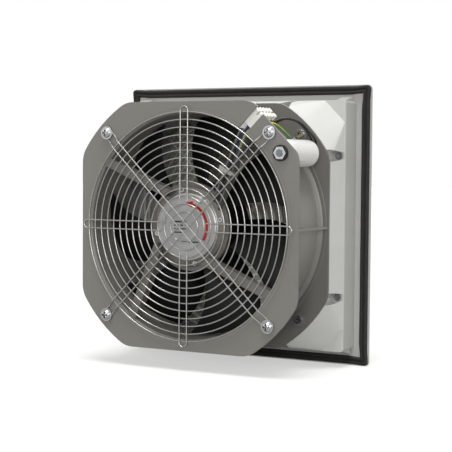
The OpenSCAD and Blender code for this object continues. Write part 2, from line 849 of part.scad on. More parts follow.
module front_plate() color("darkgray") stand_up() {
    bore_r = throat_d / 2 + inlet_r + tube_wall;
    housing_plate(carrier_top, housing_flange_t, bore_r, housing_screw_d + 2 * fit);
    for (x = [-1, 1], y = [-1, 1])
        slab(carrier_top + housing_flange_t / 2, housing_flange_t / 2 + boss_rise)
            translate([x * corner_screw_at, y * corner_screw_at]) difference() {
                circle(d = boss_d);
                circle(d = housing_screw_d + 2 * fit);
            }
}

module plate_webs() color("darkgray") stand_up() {
    from = throat_d / 2 + tube_wall + web_share * inlet_r;
    low = carrier_top + housing_flange_t + seat + fit;
    for (k = sides) rotate([0, 0, k * quarter]) translate([from, -web_t / 2, low])
        cube([fan_w / 2 - web_in - from, web_t, plate_front - fit - low]);
}

module corner_set(which) {
    for (p = which) translate([p[0] * corner_screw_at, p[1] * corner_screw_at, 0]) children();
}

module housing_screws() color("silver") stand_up() corner_set([[-1, 1], [-1, -1], [1, -1]])
    housing_screw();

module housing_screw() {
    top = carrier_top + housing_flange_t + boss_rise;
    translate([0, 0, top]) pan_head(housing_head_d, housing_head_h);
    translate([0, 0, carrier_top - carrier_plate_t - nut_h])
        cylinder(d = housing_screw_d, h = top - carrier_top + carrier_plate_t + nut_h);
}

module housing_nuts() color("silver") stand_up() corner_set([[-1, 1], [-1, -1], [1, -1], [1, 1]])
    translate([0, 0, carrier_top - carrier_plate_t - nut_h])
        hex_nut(nut_d, nut_h - seat / 2, housing_screw_d + 2 * fit);

module guard_rings() color("silver") stand_up()
    for (i = [0 : guard_rings_n - 1]) translate([0, 0, guard_z]) rotate_extrude()
        translate([guard_ring_r - i * guard_pitch, 0]) circle(d = wire_d, $fn = 32);

module bar(a, b) {
    v = b - a;
    translate(a) rotate([0, acos(v[2] / norm(v)), atan2(v[1], v[0])])
        cylinder(d = wire_d, h = norm(v), $fn = 32);
}

module knee(p) {
    translate(p) sphere(d = wire_d + fit, $fn = 32);
}

// Half ring at the end of a spoke
module bow(x, z, r) {
    translate([x, 0, z]) rotate([0, 0, -quarter]) rotate_extrude(angle = half_turn)
        translate([r, 0]) circle(d = wire_d, $fn = 32);
}

module guard_spokes() color("silver") stand_up() {
    g = spoke_gap / 2;
    for (k = sides) rotate([0, 0, k * quarter]) {
        for (y = [-g, g]) bar([short_in, y, spoke_z], [short_out - g, y, spoke_z]);
        bow(short_out - g, spoke_z, g);
    }
    for (k = sides) rotate([0, 0, diagonal + k * quarter]) {
        for (y = [-g, g]) {
            if (k < 2) bar([-step_from, y, spoke_z], [step_from, y, spoke_z]);
            knee([step_from, y, spoke_z]);
            bar([step_from, y, spoke_z], [step_to, y, eye_z]);
            knee([step_to, y, eye_z]);
            bar([step_to, y, eye_z], [screw_r, y, eye_z]);
        }
        bow(screw_r, eye_z, g);
    }
}

module guard_screws() color("silver") stand_up() corner_set([[1, 1], [-1, 1], [-1, -1], [1, -1]]) {
    head = plate_back + wire_d + seat;
    translate([0, 0, head]) {
        domed_head(bolt_head_d, bolt_head_h);
        difference() {
            cylinder(d = bolt_collar_d, h = bolt_collar_h);
            translate([0, 0, -over]) cylinder(d = bolt_head_d - over, h = bolt_collar_h + 2 * over);
        }
    }
    translate([0, 0, plate_front - nut_h - over]) cylinder(d = bolt_d, h = head - plate_front + nut_h + over);
}

module guard_nuts() color("silver") stand_up() corner_set([[1, 1], [-1, 1], [-1, -1], [1, -1]])
    translate([0, 0, plate_front - nut_h]) hex_nut(nut_d + over, nut_h - seat / 2, bolt_d + 2 * fit);

// Four struts that pass the axis on one side; the upper right one is a channel for the lead
module motor_struts() color("darkgray") stand_up() difference() {
    union() {
        rod([0, 0], ring_z, ring_out_d, ring_t);
        intersection() {
            for (k = sides) rotate([0, 0, strut_turn + k * quarter])
                translate([0, -strut_offset - strut_w / 2, plate_back - strut_h])
                    cube([fan_w / 2, strut_w, strut_h]);
            rod([0, 0], ring_z - over, throat_d - seat, fan_depth);
        }
    }
    rod([0, 0], ring_z - over, ring_in_d, fan_depth);
    rod([0, 0], ring_z + ring_t, stator_flange_d + 2 * hub_clear, fan_depth);
    rotate([0, 0, strut_turn])
        translate([0, -strut_offset - strut_w / 2 + strut_wall, plate_back - strut_h + strut_floor])
            cube([fan_w, strut_w - 2 * strut_wall, strut_h]);
    for (i = [0 : stator_screw_n - 1])
        rotate([0, 0, stator_screw_turn + i * full_turn / stator_screw_n])
            rod([stator_screw_at, 0], ring_z - over, stator_screw_d + 2 * fit, ring_t + 2 * over);
}

module stator_flange() color("silver") stand_up() difference() {
    union() {
        rod([0, 0], flange_z + seat / 2, stator_flange_d, flange_disc_t - seat / 2);
        rod([0, 0], flange_z + seat / 2, step_d, label_back - flange_z - seat / 2);
        rod([0, 0], bearing_tube_z, tube_od, flange_z - bearing_tube_z + over);
    }
    rod([0, 0], bearing_tube_z - over, bearing_d + 2 * fit, shaft_top + clip_t - bearing_tube_z + over);
    for (i = [0 : stator_screw_n - 1])
        rotate([0, 0, stator_screw_turn + i * full_turn / stator_screw_n])
            rod([stator_screw_at, 0], flange_z - over, stator_screw_d + 2 * fit, flange_disc_t + 2 * over);
}

module stator_screws() color("silver") stand_up()
    for (i = [0 : stator_screw_n - 1])
        rotate([0, 0, stator_screw_turn + i * full_turn / stator_screw_n]) {
            translate([stator_screw_at, 0, flange_z + flange_disc_t]) pan_head(stator_head_d, stator_head_h);
            rod([stator_screw_at, 0], ring_z + over, stator_screw_d, ring_t + flange_disc_t - over);
        }

module motor_label() color("silver") stand_up()
    rod([0, 0], label_back, label_d, label_t);

module stator_core() color("slategray") stand_up() difference() {
    r = rotor_d / 2 - can_t - cage_t - air_gap;
    rod([0, 0], core_z, 2 * r, core_h);
    rod([0, 0], core_z - over, tube_od + 2 * fit, core_h + 2 * over);
    for (i = [0 : slot_n - 1]) rotate([0, 0, i * full_turn / slot_n])
        translate([r - stator_slot_l, -stator_slot_w / 2, core_z - over])
            cube([stator_slot_l + over, stator_slot_w, core_h + 2 * over]);
}

module stator_winding() color("peru") stand_up() {
    r = rotor_d / 2 - can_t - cage_t - air_gap - over;
    for (z = [core_z - winding_h - seat / 2, core_z + core_h + seat / 2]) difference() {
        rod([0, 0], z, 2 * r, winding_h);
        rod([0, 0], z - over, 2 * (r - winding_t), winding_h + 2 * over);
    }
}

module bearings() color("silver") stand_up()
    for (z = [lower_bearing_z, upper_bearing_z]) difference() {
        rod([0, 0], z, bearing_d, bearing_h);
        rod([0, 0], z - over, shaft_d + 2 * fit, bearing_h + 2 * over);
    }

module rotor_shaft() color("silver") stand_up()
    rod([0, 0], rotor_bottom + can_floor, shaft_d, shaft_top - rotor_bottom - can_floor);

module shaft_clip() color("dimgray") stand_up() difference() {
    rod([0, 0], upper_bearing_z + bearing_h + free, shaft_d + clip_over, clip_t);
    rod([0, 0], upper_bearing_z, shaft_d, bearing_h + 2 * clip_over);
}

module rotor_can() color("dimgray") stand_up() difference() {
    rod([0, 0], rotor_bottom, rotor_d, rotor_h);
    rod([0, 0], rotor_bottom + can_floor, rotor_d - 2 * can_t, rotor_h);
}

module rotor_cage() color("gray") stand_up() difference() {
    rod([0, 0], core_z - (cage_h - core_h) / 2, rotor_d - 2 * can_t - 2 * fit, cage_h);
    rod([0, 0], core_z - cage_h, rotor_d - 2 * can_t - 2 * cage_t, 3 * cage_h);
}

// One blade: rows from hub to tip, steps along the chord, two skins a wall apart
function blade_point(i, j, side) =
    let (s = i / blade_rows, c = j / blade_steps - 1 / 2,
        r = hub_d / 2 - blade_root_in + s * (throat_d / 2 - tip_gap - hub_d / 2 + blade_root_in),
        chord = hub_chord + s * (tip_chord - hub_chord),
        a = c * chord + blade_sweep * s * s,
        h = hub_pitch_h + s * (tip_pitch_h - hub_pitch_h),
        z = -c * h + blade_camber * (1 - 4 * c * c) - blade_camber / 2,
        t = blade_t * (1 - 3 * c * c) / 2)
    [r * cos(a), r * sin(a), z + side * t];

module blade() {
    cols = blade_steps + 1;
    skin = (blade_rows + 1) * cols;
    pts = concat(
        [for (i = [0 : blade_rows], j = [0 : blade_steps]) blade_point(i, j, 1)],
        [for (i = [0 : blade_rows], j = [0 : blade_steps]) blade_point(i, j, -1)]);
    top = [for (i = [0 : blade_rows - 1], j = [0 : blade_steps - 1]) let (p = i * cols + j)
        each [[p, p + 1, p + cols + 1], [p, p + cols + 1, p + cols]]];
    bottom = [for (f = top) [f[2] + skin, f[1] + skin, f[0] + skin]];
    hub_edge = [for (j = [0 : blade_steps - 1])
        each [[j + 1, j, j + skin], [j + 1, j + skin, j + 1 + skin]]];
    tip_edge = [for (j = [0 : blade_steps - 1]) let (p = blade_rows * cols + j)
        each [[p, p + 1, p + 1 + skin], [p, p + 1 + skin, p + skin]]];
    low_edge = [for (i = [0 : blade_rows - 1]) let (p = i * cols)
        each [[p, p + cols, p + cols + skin], [p, p + cols + skin, p + skin]]];
    high_edge = [for (i = [0 : blade_rows - 1]) let (p = i * cols + blade_steps)
        each [[p + cols, p, p + skin], [p + cols, p + skin, p + cols + skin]]];
    polyhedron(pts, concat(top, bottom, hub_edge, tip_edge, low_edge, high_edge));
}

module impeller() color("black") stand_up() {
    hub_z = rotor_top - hub_h;
    difference() {
        rod([0, 0], hub_z, hub_d, hub_h);
        rod([0, 0], hub_z - over, rotor_d + 2 * fit, hub_h + 2 * over);
    }
    for (i = [0 : blade_count - 1])
        translate([0, 0, hub_z + hub_h / 2]) rotate([0, 0, blade_first + i * full_turn / blade_count])
            blade();
}

// Terminal block axes: x along the diagonal from the fan axis, y across it
module terminal_axes() {
    stand_up() rotate([0, 0, diagonal]) translate([block_in, block_across - block_w / 2, block_top - block_h])
        children();
}

module terminal_block() color("white") terminal_axes() difference() {
    union() {
        cube([tower_at - tower_t, block_w, block_h]);
        for (i = [0 : pole_count - 1]) translate([tower_at, 0, (i + 1 / 2) * pole_pitch]) {
            rotate([-quarter, 0, 0]) cylinder(r = tower_r, h = block_w);
            translate([-tower_t - over, 0, -tower_r]) cube([tower_t + over, block_w, 2 * tower_r]);
        }
    }
    for (i = [0 : pole_count - 1]) translate([0, 0, (i + 1 / 2) * pole_pitch]) {
        translate([-over, block_w / 2, 0]) rotate([0, quarter, 0])
            cylinder(d = wire_hole_d, h = wire_hole_l + over);
        translate([clamp_at_share * block_l, block_w - clamp_h - clamp_sink, 0])
            rotate([-quarter, 0, 0]) cylinder(d = clamp_d + 2 * fit, h = clamp_h + clamp_sink + over);
    }
    for (i = [0, 1]) translate([side_hole_at, -over, (i + 1 / 2) * pole_pitch])
        rotate([-quarter, 0, 0]) cylinder(d = wire_hole_d, h = wire_hole_l + over);
    translate([block_hole[0], block_hole[1], block_h - block_hole[2]])
        cylinder(d = block_hole[2], h = block_hole[2] + over);
}

module terminal_screws() color("goldenrod") terminal_axes()
    for (i = [0 : pole_count - 1])
        translate([clamp_at_share * block_l, block_w - clamp_h - clamp_sink + seat / 2,
            (i + 1 / 2) * pole_pitch]) rotate([-quarter, 0, 0]) pan_head(clamp_d, clamp_h);

module capacitor() color("white") stand_up() {
    top = plate_front - seat;
    difference() {
        translate([capacitor_at[0], capacitor_at[1], top - capacitor_h]) rotate_extrude() {
            square([capacitor_d / 2 - capacitor_edge, capacitor_h]);
            translate([0, capacitor_edge]) square([capacitor_d / 2, capacitor_h - 2 * capacitor_edge]);
            for (y = [capacitor_edge, capacitor_h - capacitor_edge])
                translate([capacitor_d / 2 - capacitor_edge, y]) circle(capacitor_edge);
        }
        capacitor_sockets();
    }
    rod(capacitor_at, top - over, stud_d, plate_t + seat + over + stud_out);
}

// Sockets for the leads in the front end of the capacitor
module capacitor_sockets() {
    for (p = socket_at)
        rod(turned(screw_r + capacitor_from[0] + p[0], capacitor_from[1] + p[1]),
            block_top - capacitor_h - over, socket_d, socket_l + over);
}

module capacitor_washer() color("black") stand_up() difference() {
    rod(capacitor_at, plate_back + seat / 2, washer_d, washer_t);
    rod(capacitor_at, plate_back - over, washer_bore, washer_t + 2 * over);
}

module capacitor_nut() color("silver") stand_up()
    translate([capacitor_at[0], capacitor_at[1], plate_back + seat])
        hex_nut(capacitor_nut_d, capacitor_nut_h, stud_d + 2 * fit);

module strut_axes() {
    stand_up() rotate([0, 0, strut_turn]) translate([0, -strut_offset, plate_back - strut_h + strut_floor])
        children();
}

module lead_grommet() color("black") strut_axes() difference() {
    z = sleeve_floor + sleeve_d / 2;
    intersection() {
        translate([sleeve_from - grommet_l, 0, z]) rotate([0, quarter, 0])
            cylinder(d = grommet_d, h = grommet_l);
        translate([0, -strut_w / 2 + strut_wall + seat, seat])
            cube([sleeve_to, strut_w - 2 * strut_wall - 2 * seat, strut_h]);
    }
    translate([sleeve_from - grommet_l - over, 0, z]) rotate([0, quarter, 0])
        cylinder(d = sleeve_d / 2, h = grommet_l + 2 * over);
}

module motor_lead() color("black") strut_axes()
    translate([sleeve_from + seat, 0, sleeve_floor + sleeve_d / 2]) rotate([0, quarter, 0])
        cylinder(d = sleeve_d, h = sleeve_to - sleeve_from - seat);

module cable_tie() color("white") strut_axes() {
    outer = strut_w + 2 * (tie_gap + tie_t);
    high = strut_h + 2 * (tie_gap + tie_t);
    low = -strut_floor - tie_gap - tie_t;
    difference() {
        translate([tie_at - tie_w / 2, -outer / 2, low]) cube([tie_w, outer, high]);
        translate([tie_at - tie_w, -outer / 2 + tie_t, low + tie_t])
            cube([2 * tie_w, outer - 2 * tie_t, high - 2 * tie_t]);
    }
    translate([tie_at - tie_head[0] / 2, outer / 2 - tie_t / 2, low + high - tie_head[2]]) cube(tie_head);
}

module corner_axes() {
    stand_up() rotate([0, 0, diagonal]) translate([screw_r, 0, block_top]) children();
}

module blue_wire() color("mediumblue") corner_axes() wire(blue_route, core_d);

module brown_wire() color("saddlebrown") corner_axes() wire(brown_route, core_d);

module black_wire() color("black") corner_axes() wire(black_route, core_d);

module capacitor_leads() color("black") corner_axes() {
    wire(lead_a_route, core_d);
    wire(lead_b_route, core_d);
}

module earth_wire() color("yellowgreen") corner_axes() wire(earth_route, core_d);

// Ring with a tail and a crimped barrel that points at the fan's axis
module earth_lug() color("silver") stand_up()
    translate([corner_screw_at, corner_screw_at, carrier_top + housing_flange_t + boss_rise + seat / 2])
        rotate([0, 0, half_turn + diagonal]) difference() {
            union() {
                cylinder(d = lug_d, h = lug_t);
                translate([0, -lug_tail[1] / 2, 0]) cube([lug_tail[0], lug_tail[1], lug_t]);
                lug_barrel(barrel_d, 0);
            }
            lug_barrel(core_d + 2 * fit, over);
            translate([0, 0, -over]) cylinder(d = housing_screw_d + 2 * fit, h = lug_t + 2 * over);
        }

module lug_barrel(d, more)
    translate([barrel_from - more, 0, lug_t + barrel_d / 2 - barrel_sink]) rotate([0, quarter, 0])
        cylinder(d = d, h = barrel_l + 2 * more);

module earth_screw() color("silver") stand_up() corner_set([[1, 1]]) {
    top = carrier_top + housing_flange_t + boss_rise + lug_t + seat;
    translate([0, 0, top]) pan_head(housing_head_d, housing_head_h);
    translate([0, 0, carrier_top - carrier_plate_t - nut_h])
        cylinder(d = housing_screw_d, h = top - carrier_top + carrier_plate_t + nut_h);
}

frame();
gasket();
support_grille();
filter_mat();
louvre_cover();
louvre_slats();
hinge_pins();
cover_catches();
fan_carrier();
carrier_screws();
nozzle();
inlet_ring();
rear_plate();
front_plate();
plate_webs();
housing_screws();
housing_nuts();
guard_rings();
guard_spokes();
guard_screws();
guard_nuts();
motor_struts();
stator_flange();
stator_screws();
motor_label();
stator_core();
stator_winding();
bearings();
rotor_shaft();
shaft_clip();
rotor_can();
rotor_cage();
impeller();
terminal_block();
terminal_screws();
capacitor();
capacitor_washer();
capacitor_nut();
lead_grommet();
motor_lead();
cable_tie();
blue_wire();
brown_wire();
black_wire();
capacitor_leads();
earth_wire();
earth_lug();
earth_screw();
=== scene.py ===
# Enclosure filter fan, dressed for rendering round its CAD frame.
# The script follows the unit as it is put together: plug-in frame with gasket, mat and
# louvred cover, fan carrier, fan housing, motor, impeller, guard and electrical parts.
# Row frame, metres: +Y runs out of the panel along the fan axis, +Z is up, and the
# louvres face -Y. Sizes are written in millimetres times mm.
import math
import random

import bmesh
import bpy
from mathutils import Matrix, Vector


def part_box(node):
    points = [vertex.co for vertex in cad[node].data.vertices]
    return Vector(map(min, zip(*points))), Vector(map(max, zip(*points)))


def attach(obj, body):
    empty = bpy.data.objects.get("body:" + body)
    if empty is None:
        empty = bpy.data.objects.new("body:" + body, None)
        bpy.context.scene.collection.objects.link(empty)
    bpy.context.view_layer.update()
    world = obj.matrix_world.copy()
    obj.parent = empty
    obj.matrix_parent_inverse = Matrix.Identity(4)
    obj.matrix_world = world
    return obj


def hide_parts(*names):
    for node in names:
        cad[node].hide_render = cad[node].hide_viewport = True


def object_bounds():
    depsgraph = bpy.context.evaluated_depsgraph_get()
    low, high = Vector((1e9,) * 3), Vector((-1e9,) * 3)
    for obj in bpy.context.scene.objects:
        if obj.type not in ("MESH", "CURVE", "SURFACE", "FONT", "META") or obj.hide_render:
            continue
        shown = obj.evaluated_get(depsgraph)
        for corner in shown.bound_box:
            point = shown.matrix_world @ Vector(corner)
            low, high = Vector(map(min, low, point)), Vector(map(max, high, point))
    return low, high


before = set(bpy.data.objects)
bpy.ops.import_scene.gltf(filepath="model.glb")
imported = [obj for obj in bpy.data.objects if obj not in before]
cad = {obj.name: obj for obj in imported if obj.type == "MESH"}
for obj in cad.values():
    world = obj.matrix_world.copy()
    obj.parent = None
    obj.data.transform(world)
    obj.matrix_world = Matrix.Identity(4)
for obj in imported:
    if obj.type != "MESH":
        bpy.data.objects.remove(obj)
cad_box = [list(corner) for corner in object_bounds()]

# --- Camera and studio ------------------------------------------------------------------
# Camera behind the unit on a plain pale floor, with white all round it for reflections:
# a broad key from above, soft fills from behind, front and right, and one small lamp
# between fan and mat that the camera doesn't see.
mm = 0.001
scene = bpy.context.scene
scene.view_settings.view_transform = "Standard"


def add_node(tree, kind, values=(), links=(), **settings):
    """Adds a node: settings are its properties, values and links its inputs by name or number."""
    made = tree.nodes.new(kind)
    for key, value in settings.items():
        setattr(made, key, value)
    for key, value in dict(values).items():
        made.inputs[key].default_value = value
    for key, socket in dict(links).items():
        tree.links.new(socket, made.inputs[key])
    return made


def math_node(tree, operation, *inputs):
    """A math node on sockets and numbers, in the order given; returns its output."""
    sockets = {i: put for i, put in enumerate(inputs) if isinstance(put, bpy.types.NodeSocket)}
    numbers = {i: put for i, put in enumerate(inputs) if i not in sockets}
    return add_node(tree, "ShaderNodeMath", numbers, sockets, operation=operation).outputs[0]


def from_hex(text):
    """sRGB hex to linear RGBA."""
    parts = [int(text[i : i + 2], 16) / 255 for i in (0, 2, 4)]
    return [c / 12.92 if c <= 0.04045 else ((c + 0.055) / 1.055) ** 2.4 for c in parts] + [1.0]


camera = bpy.data.objects.new("camera", bpy.data.cameras.new("camera"))
scene.collection.objects.link(camera)
scene.camera = camera
camera_at = (-0.7604, 1.4079, 0.0773)
camera_turn = math.radians(29.16)
camera_fall = math.radians(2.94)
camera_roll = math.radians(0.43)
sensor_mm, picture_px, focal_px = 36, 452, 1325.2
camera.data.sensor_width = sensor_mm
camera.data.lens = sensor_mm * focal_px / picture_px
level = math.cos(camera_fall)
look = Vector((math.sin(camera_turn) * level, -math.cos(camera_turn) * level,
               -math.sin(camera_fall)))
camera.matrix_world = (
    Matrix.Translation(camera_at)
    @ look.to_track_quat("-Z", "Y").to_matrix().to_4x4()
    @ Matrix.Rotation(camera_roll, 4, "Z")
)

world = bpy.data.worlds.new("studio")
scene.world = world
world.use_nodes = True
tree = world.node_tree
tree.nodes.clear()
ray = add_node(tree, "ShaderNodeLightPath").outputs
seen = math_node(tree, "MAXIMUM", ray["Is Camera Ray"], ray["Is Glossy Ray"])
seen = math_node(tree, "MAXIMUM", seen, ray["Is Transmission Ray"])
fill = add_node(tree, "ShaderNodeBackground", {"Color": from_hex("ffffff"), "Strength": 0.42})
white = add_node(tree, "ShaderNodeBackground", {"Color": from_hex("ffffff"), "Strength": 1.0})
mixed = add_node(tree, "ShaderNodeMixShader",
                 links={0: seen, 1: fill.outputs[0], 2: white.outputs[0]})
add_node(tree, "ShaderNodeOutputWorld", links={"Surface": mixed.outputs[0]})


def sun(name, toward, strength, angle):
    """A sun that shines along a direction; its angle in degrees sets how soft it is."""
    lamp = bpy.data.lights.new(name, "SUN")
    lamp.energy = strength
    lamp.angle = math.radians(angle)
    lit = bpy.data.objects.new(name, lamp)
    lit.rotation_mode = "QUATERNION"
    lit.rotation_quaternion = Vector(toward).to_track_quat("-Z", "Y")
    scene.collection.objects.link(lit)


sun("key_above", (0.10, -0.22, -1.0), 2.25, 26)
sun("fill_behind", (0.42, -1.0, -0.16), 1.15, 24)
sun("fill_front", (-0.25, 1.0, -0.4), 0.75, 40)
sun("fill_right", (1.0, -0.1, -0.15), 0.5, 50)

# Weak soft light on the mat, as the louvres let it in from the front
glow_lamp = bpy.data.lights.new("light_through_the_mat", "AREA")
glow_lamp.size = 0.11
glow_lamp.energy = 0.03
glow_at = bpy.data.objects.new("light_through_the_mat", glow_lamp)
glow_at.location = (-0.045, 0.047, -0.07)
glow_at.rotation_euler = (-math.pi / 2, 0, 0)
glow_at.visible_camera = False
glow_at.visible_glossy = False
scene.collection.objects.link(glow_at)

floor_reach, floor_level = 9, cad_box[0][2]
floor_mesh = bpy.data.meshes.new("floor")
floor_mesh.from_pydata([(x * floor_reach, y * floor_reach, floor_level)
                        for x, y in ((-1, -1), (1, -1), (1, 1), (-1, 1))], [], [(0, 1, 2, 3)])
floor = bpy.data.objects.new("floor", floor_mesh)
scene.collection.objects.link(floor)
floor_finish = bpy.data.materials.new("matt_white_floor")
floor_finish.use_nodes = True
tree = floor_finish.node_tree
tree.nodes.clear()
floor_glow = 0.52
matt = add_node(tree, "ShaderNodeBsdfDiffuse", {"Color": from_hex("b4b4b2")})
ray = add_node(tree, "ShaderNodeLightPath").outputs
glow = add_node(tree, "ShaderNodeEmission", {"Color": from_hex("ffffff")},
                {"Strength": math_node(tree, "MULTIPLY", ray["Is Camera Ray"], floor_glow)})
both = add_node(tree, "ShaderNodeAddShader", links={0: matt.outputs[0], 1: glow.outputs[0]})
add_node(tree, "ShaderNodeOutputMaterial", links={"Surface": both.outputs[0]})
floor_mesh.materials.append(floor_finish)

# --- Plug-in frame ----------------------------------------------------------------------
# Moulded box with its flange, sprung noses and hinge ears, in light grey ABS from a
# spark-eroded tool: a fine even grain that spreads the highlight, with small shifts of
# tone from the flow of the melt.


def principled(name, color, rough, grain_mm, bump_mm, tone=0.06, metal=0.0, edge_mm=0.4,
               cloud_mm=40.0, **sockets):
    """A solid finish: base colour with soft clouds of tone, fine grain in bump and
    roughness, and edges rounded as the real ones are."""
    finish = bpy.data.materials.new(name)
    finish.use_nodes = True
    tree = finish.node_tree
    tree.nodes.clear()
    noise_low, noise_high, rough_shift = 0.3, 0.7, 0.06
    where = add_node(tree, "ShaderNodeTexCoord").outputs["Object"]
    clouds = add_node(tree, "ShaderNodeTexNoise", {"Scale": 1000 / cloud_mm, "Detail": 3.0},
                      {"Vector": where})
    grain = add_node(tree, "ShaderNodeTexNoise", {"Scale": 1000 / grain_mm, "Detail": 2.0},
                     {"Vector": where})
    ramp = add_node(tree, "ShaderNodeValToRGB", links={"Fac": clouds.outputs["Fac"]})
    ends = zip(ramp.color_ramp.elements, (noise_low, noise_high), (1 - tone, 1 + tone))
    for end, noise, shade in ends:
        end.position = noise
        end.color = [min(c * shade, 1) for c in from_hex(color)[:3]] + [1]
    dull = add_node(tree, "ShaderNodeMapRange",
                    {"From Min": noise_low, "From Max": noise_high,
                     "To Min": rough - rough_shift, "To Max": rough + rough_shift},
                    {"Value": grain.outputs["Fac"]})
    edge = add_node(tree, "ShaderNodeBevel", {"Radius": edge_mm * mm}, samples=4)
    bump = add_node(tree, "ShaderNodeBump", {"Strength": 0.6, "Distance": bump_mm * mm},
                    {"Height": grain.outputs["Fac"], "Normal": edge.outputs["Normal"]})
    skin = add_node(tree, "ShaderNodeBsdfPrincipled", {"Metallic": metal},
                    {"Base Color": ramp.outputs["Color"], "Roughness": dull.outputs["Result"],
                     "Normal": bump.outputs["Normal"]})
    for key, value in sockets.items():
        skin.inputs[key.replace("_", " ")].default_value = value
    add_node(tree, "ShaderNodeOutputMaterial", links={"Surface": skin.outputs[0]})
    return finish


def finish_node(name, finish):
    """Gives a CAD node its finish in place of the plain one it was packed with."""
    piece = cad[name]
    piece.data.materials.clear()
    piece.data.materials.append(finish)
    piece.data.polygons.foreach_set("material_index", [0] * len(piece.data.polygons))


light_abs = principled("ABS_light_grey_moulded", "b0b0ac", 0.46, 0.9, 0.03, tone=0.03)
finish_node("frame", light_abs)

# --- Gasket -----------------------------------------------------------------------------
# Black polyurethane foam, poured on the flange in a band with two round ridges. Its
# skin is matt with fine pits and never quite level, and it swells a little in the corners.


def mesh_piece(name, points, faces, finish, body):
    """A smooth finished mesh that rides on a body: points are in the row frame, in metres."""
    mesh = bpy.data.meshes.new(name)
    mesh.from_pydata(points, [], faces)
    mesh.materials.append(finish)
    work = bmesh.new()
    work.from_mesh(mesh)
    bmesh.ops.remove_doubles(work, verts=work.verts, dist=1e-7)
    bmesh.ops.recalc_face_normals(work, faces=work.faces)
    work.to_mesh(mesh)
    work.free()
    mesh.polygons.foreach_set("use_smooth", [True] * len(mesh.polygons))
    piece = bpy.data.objects.new(name, mesh)
    scene.collection.objects.link(piece)
    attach(piece, body)
    return piece


def place(right, up, out):
    """A point as the part's source writes it, in millimetres and seen from the rear."""
    return (-right * mm, out * mm, up * mm)


def rounded_loop(half, radius, arc_steps, side_steps):
    """Points round a square with rounded corners, always the same number of them."""
    loop = []
    flat = half - radius
    for k in range(4):
        turn = k * math.pi / 2
        cos, sin = math.cos(turn), math.sin(turn)
        cx, cy = flat * cos + flat * sin, flat * sin - flat * cos
        for i in range(arc_steps + 1):
            a = turn - math.pi / 2 + i * math.pi / 2 / arc_steps
            loop.append((cx + radius * math.cos(a), cy + radius * math.sin(a)))
        start = loop[-1]
        stop = (half * cos - flat * sin, half * sin + flat * cos)
        for i in range(1, side_steps):
            f = i / side_steps
            loop.append((start[0] + (stop[0] - start[0]) * f,
                         start[1] + (stop[1] - start[1]) * f))
    return loop


gasket_low, gasket_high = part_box("gasket")
gasket_half = gasket_high.x / mm
gasket_seat, gasket_top = gasket_low.y / mm, gasket_high.y / mm
ridge_section = [(0, 0), (0, 1.6), (0.25, 2.3), (0.8, 2.8), (1.0, 3.35), (1.5, 3.7),
                 (2.3, 3.78), (3.1, 3.7), (3.7, 3.2), (4.05, 2.4), (4.75, 1.7), (5.45, 2.4),
                 (5.8, 3.2), (6.4, 3.7), (7.2, 3.78), (8.0, 3.7), (8.5, 3.35), (8.7, 2.8),
                 (9.25, 2.3), (9.5, 1.6), (9.5, 0)]
outer_r, least_r, arc_steps, side_steps = 5, 0.8, 8, 60
corner_swell, corner_reach = 1.3, 18.0
wave_high, wave_turn, pit_high, uneven_above = 0.09, 0.37, 0.06, 2
random.seed(4)
foam_points = []
for inward, height in ridge_section:
    around_band = rounded_loop(gasket_half - inward, max(outer_r - inward, least_r),
                               arc_steps, side_steps)
    for n, (right, up) in enumerate(around_band):
        wave = 0
        if height > uneven_above:
            wave = (wave_high * math.sin(n * wave_turn + inward)
                    + pit_high * random.uniform(-1, 1))
        to_corner = gasket_half - inward - min(abs(right), abs(up))
        from_corner = min(1, max(0, to_corner) / corner_reach)
        swell = 1 + corner_swell * (0.5 + 0.5 * math.cos(math.pi * from_corner)) / gasket_half
        foam_points.append(place(right * swell, up * swell,
                                 min(gasket_seat + height + wave, gasket_top)))
rows = len(ridge_section)
count = len(foam_points) // rows
foam_faces = [(i * count + j, (i + 1) % rows * count + j,
               (i + 1) % rows * count + (j + 1) % count, i * count + (j + 1) % count)
              for i in range(rows) for j in range(count)]
foam = principled("PUR_foam_black", "232221", 0.75, 0.9, 0.12, tone=0.2, edge_mm=0.1,
                  cloud_mm=9, Specular_IOR_Level=0.35)
gasket = mesh_piece("gasket_foam", foam_points, foam_faces, foam, "housing")
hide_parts("gasket")

# --- Support grille ---------------------------------------------------------------------
# Ring grille that carries the mat inside the frame, moulded in pale grey ABS: slightly
# duller than the frame because it comes from a plain, unpolished tool.
finish_node("support_grille",
            principled("ABS_grey_moulded", "c9c9c3", 0.5, 0.9, 0.03, tone=0.03))

# --- Filter mat -------------------------------------------------------------------------
# Needled polyester fleece, 14 mm thick, cut square and laid on the ring grille. It is
# lofty and uneven, soft at its cut edges, and lets some light through.


def node_of(finish, kind):
    """The first node of a kind in a finish."""
    return next(n for n in finish.node_tree.nodes if n.type == kind)


mat_low, mat_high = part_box("filter_mat")
mat_steps = 110
mat_half = mat_high.x / mm
mat_front, mat_rear = mat_low.y / mm, mat_high.y / mm
mat_middle, mat_loft = (mat_front + mat_rear) / 2, (mat_rear - mat_front) / 2
pinch_share, pinch_reach, face_in, lump_high, tuft = 0.45, 3.0, 0.9, 0.9, 0.18
mat_points = []
for side in (1, -1):
    for i in range(mat_steps + 1):
        for j in range(mat_steps + 1):
            right = -mat_half + 2 * mat_half * i / mat_steps
            up = -mat_half + 2 * mat_half * j / mat_steps
            edge = min(mat_half - abs(right), mat_half - abs(up))
            pinch = 1 - pinch_share * math.exp(-edge / pinch_reach)
            lump = (0.5 * math.sin(right * 0.21 + 1.3 * side) * math.cos(up * 0.17)
                    + 0.3 * math.sin(up * 0.5 + right * 0.31) + random.uniform(-tuft, tuft))
            loft = mat_loft * pinch - face_in + lump * lump_high
            mat_points.append(place(right, up, mat_middle + side * loft))
row = mat_steps + 1
mat_faces = []
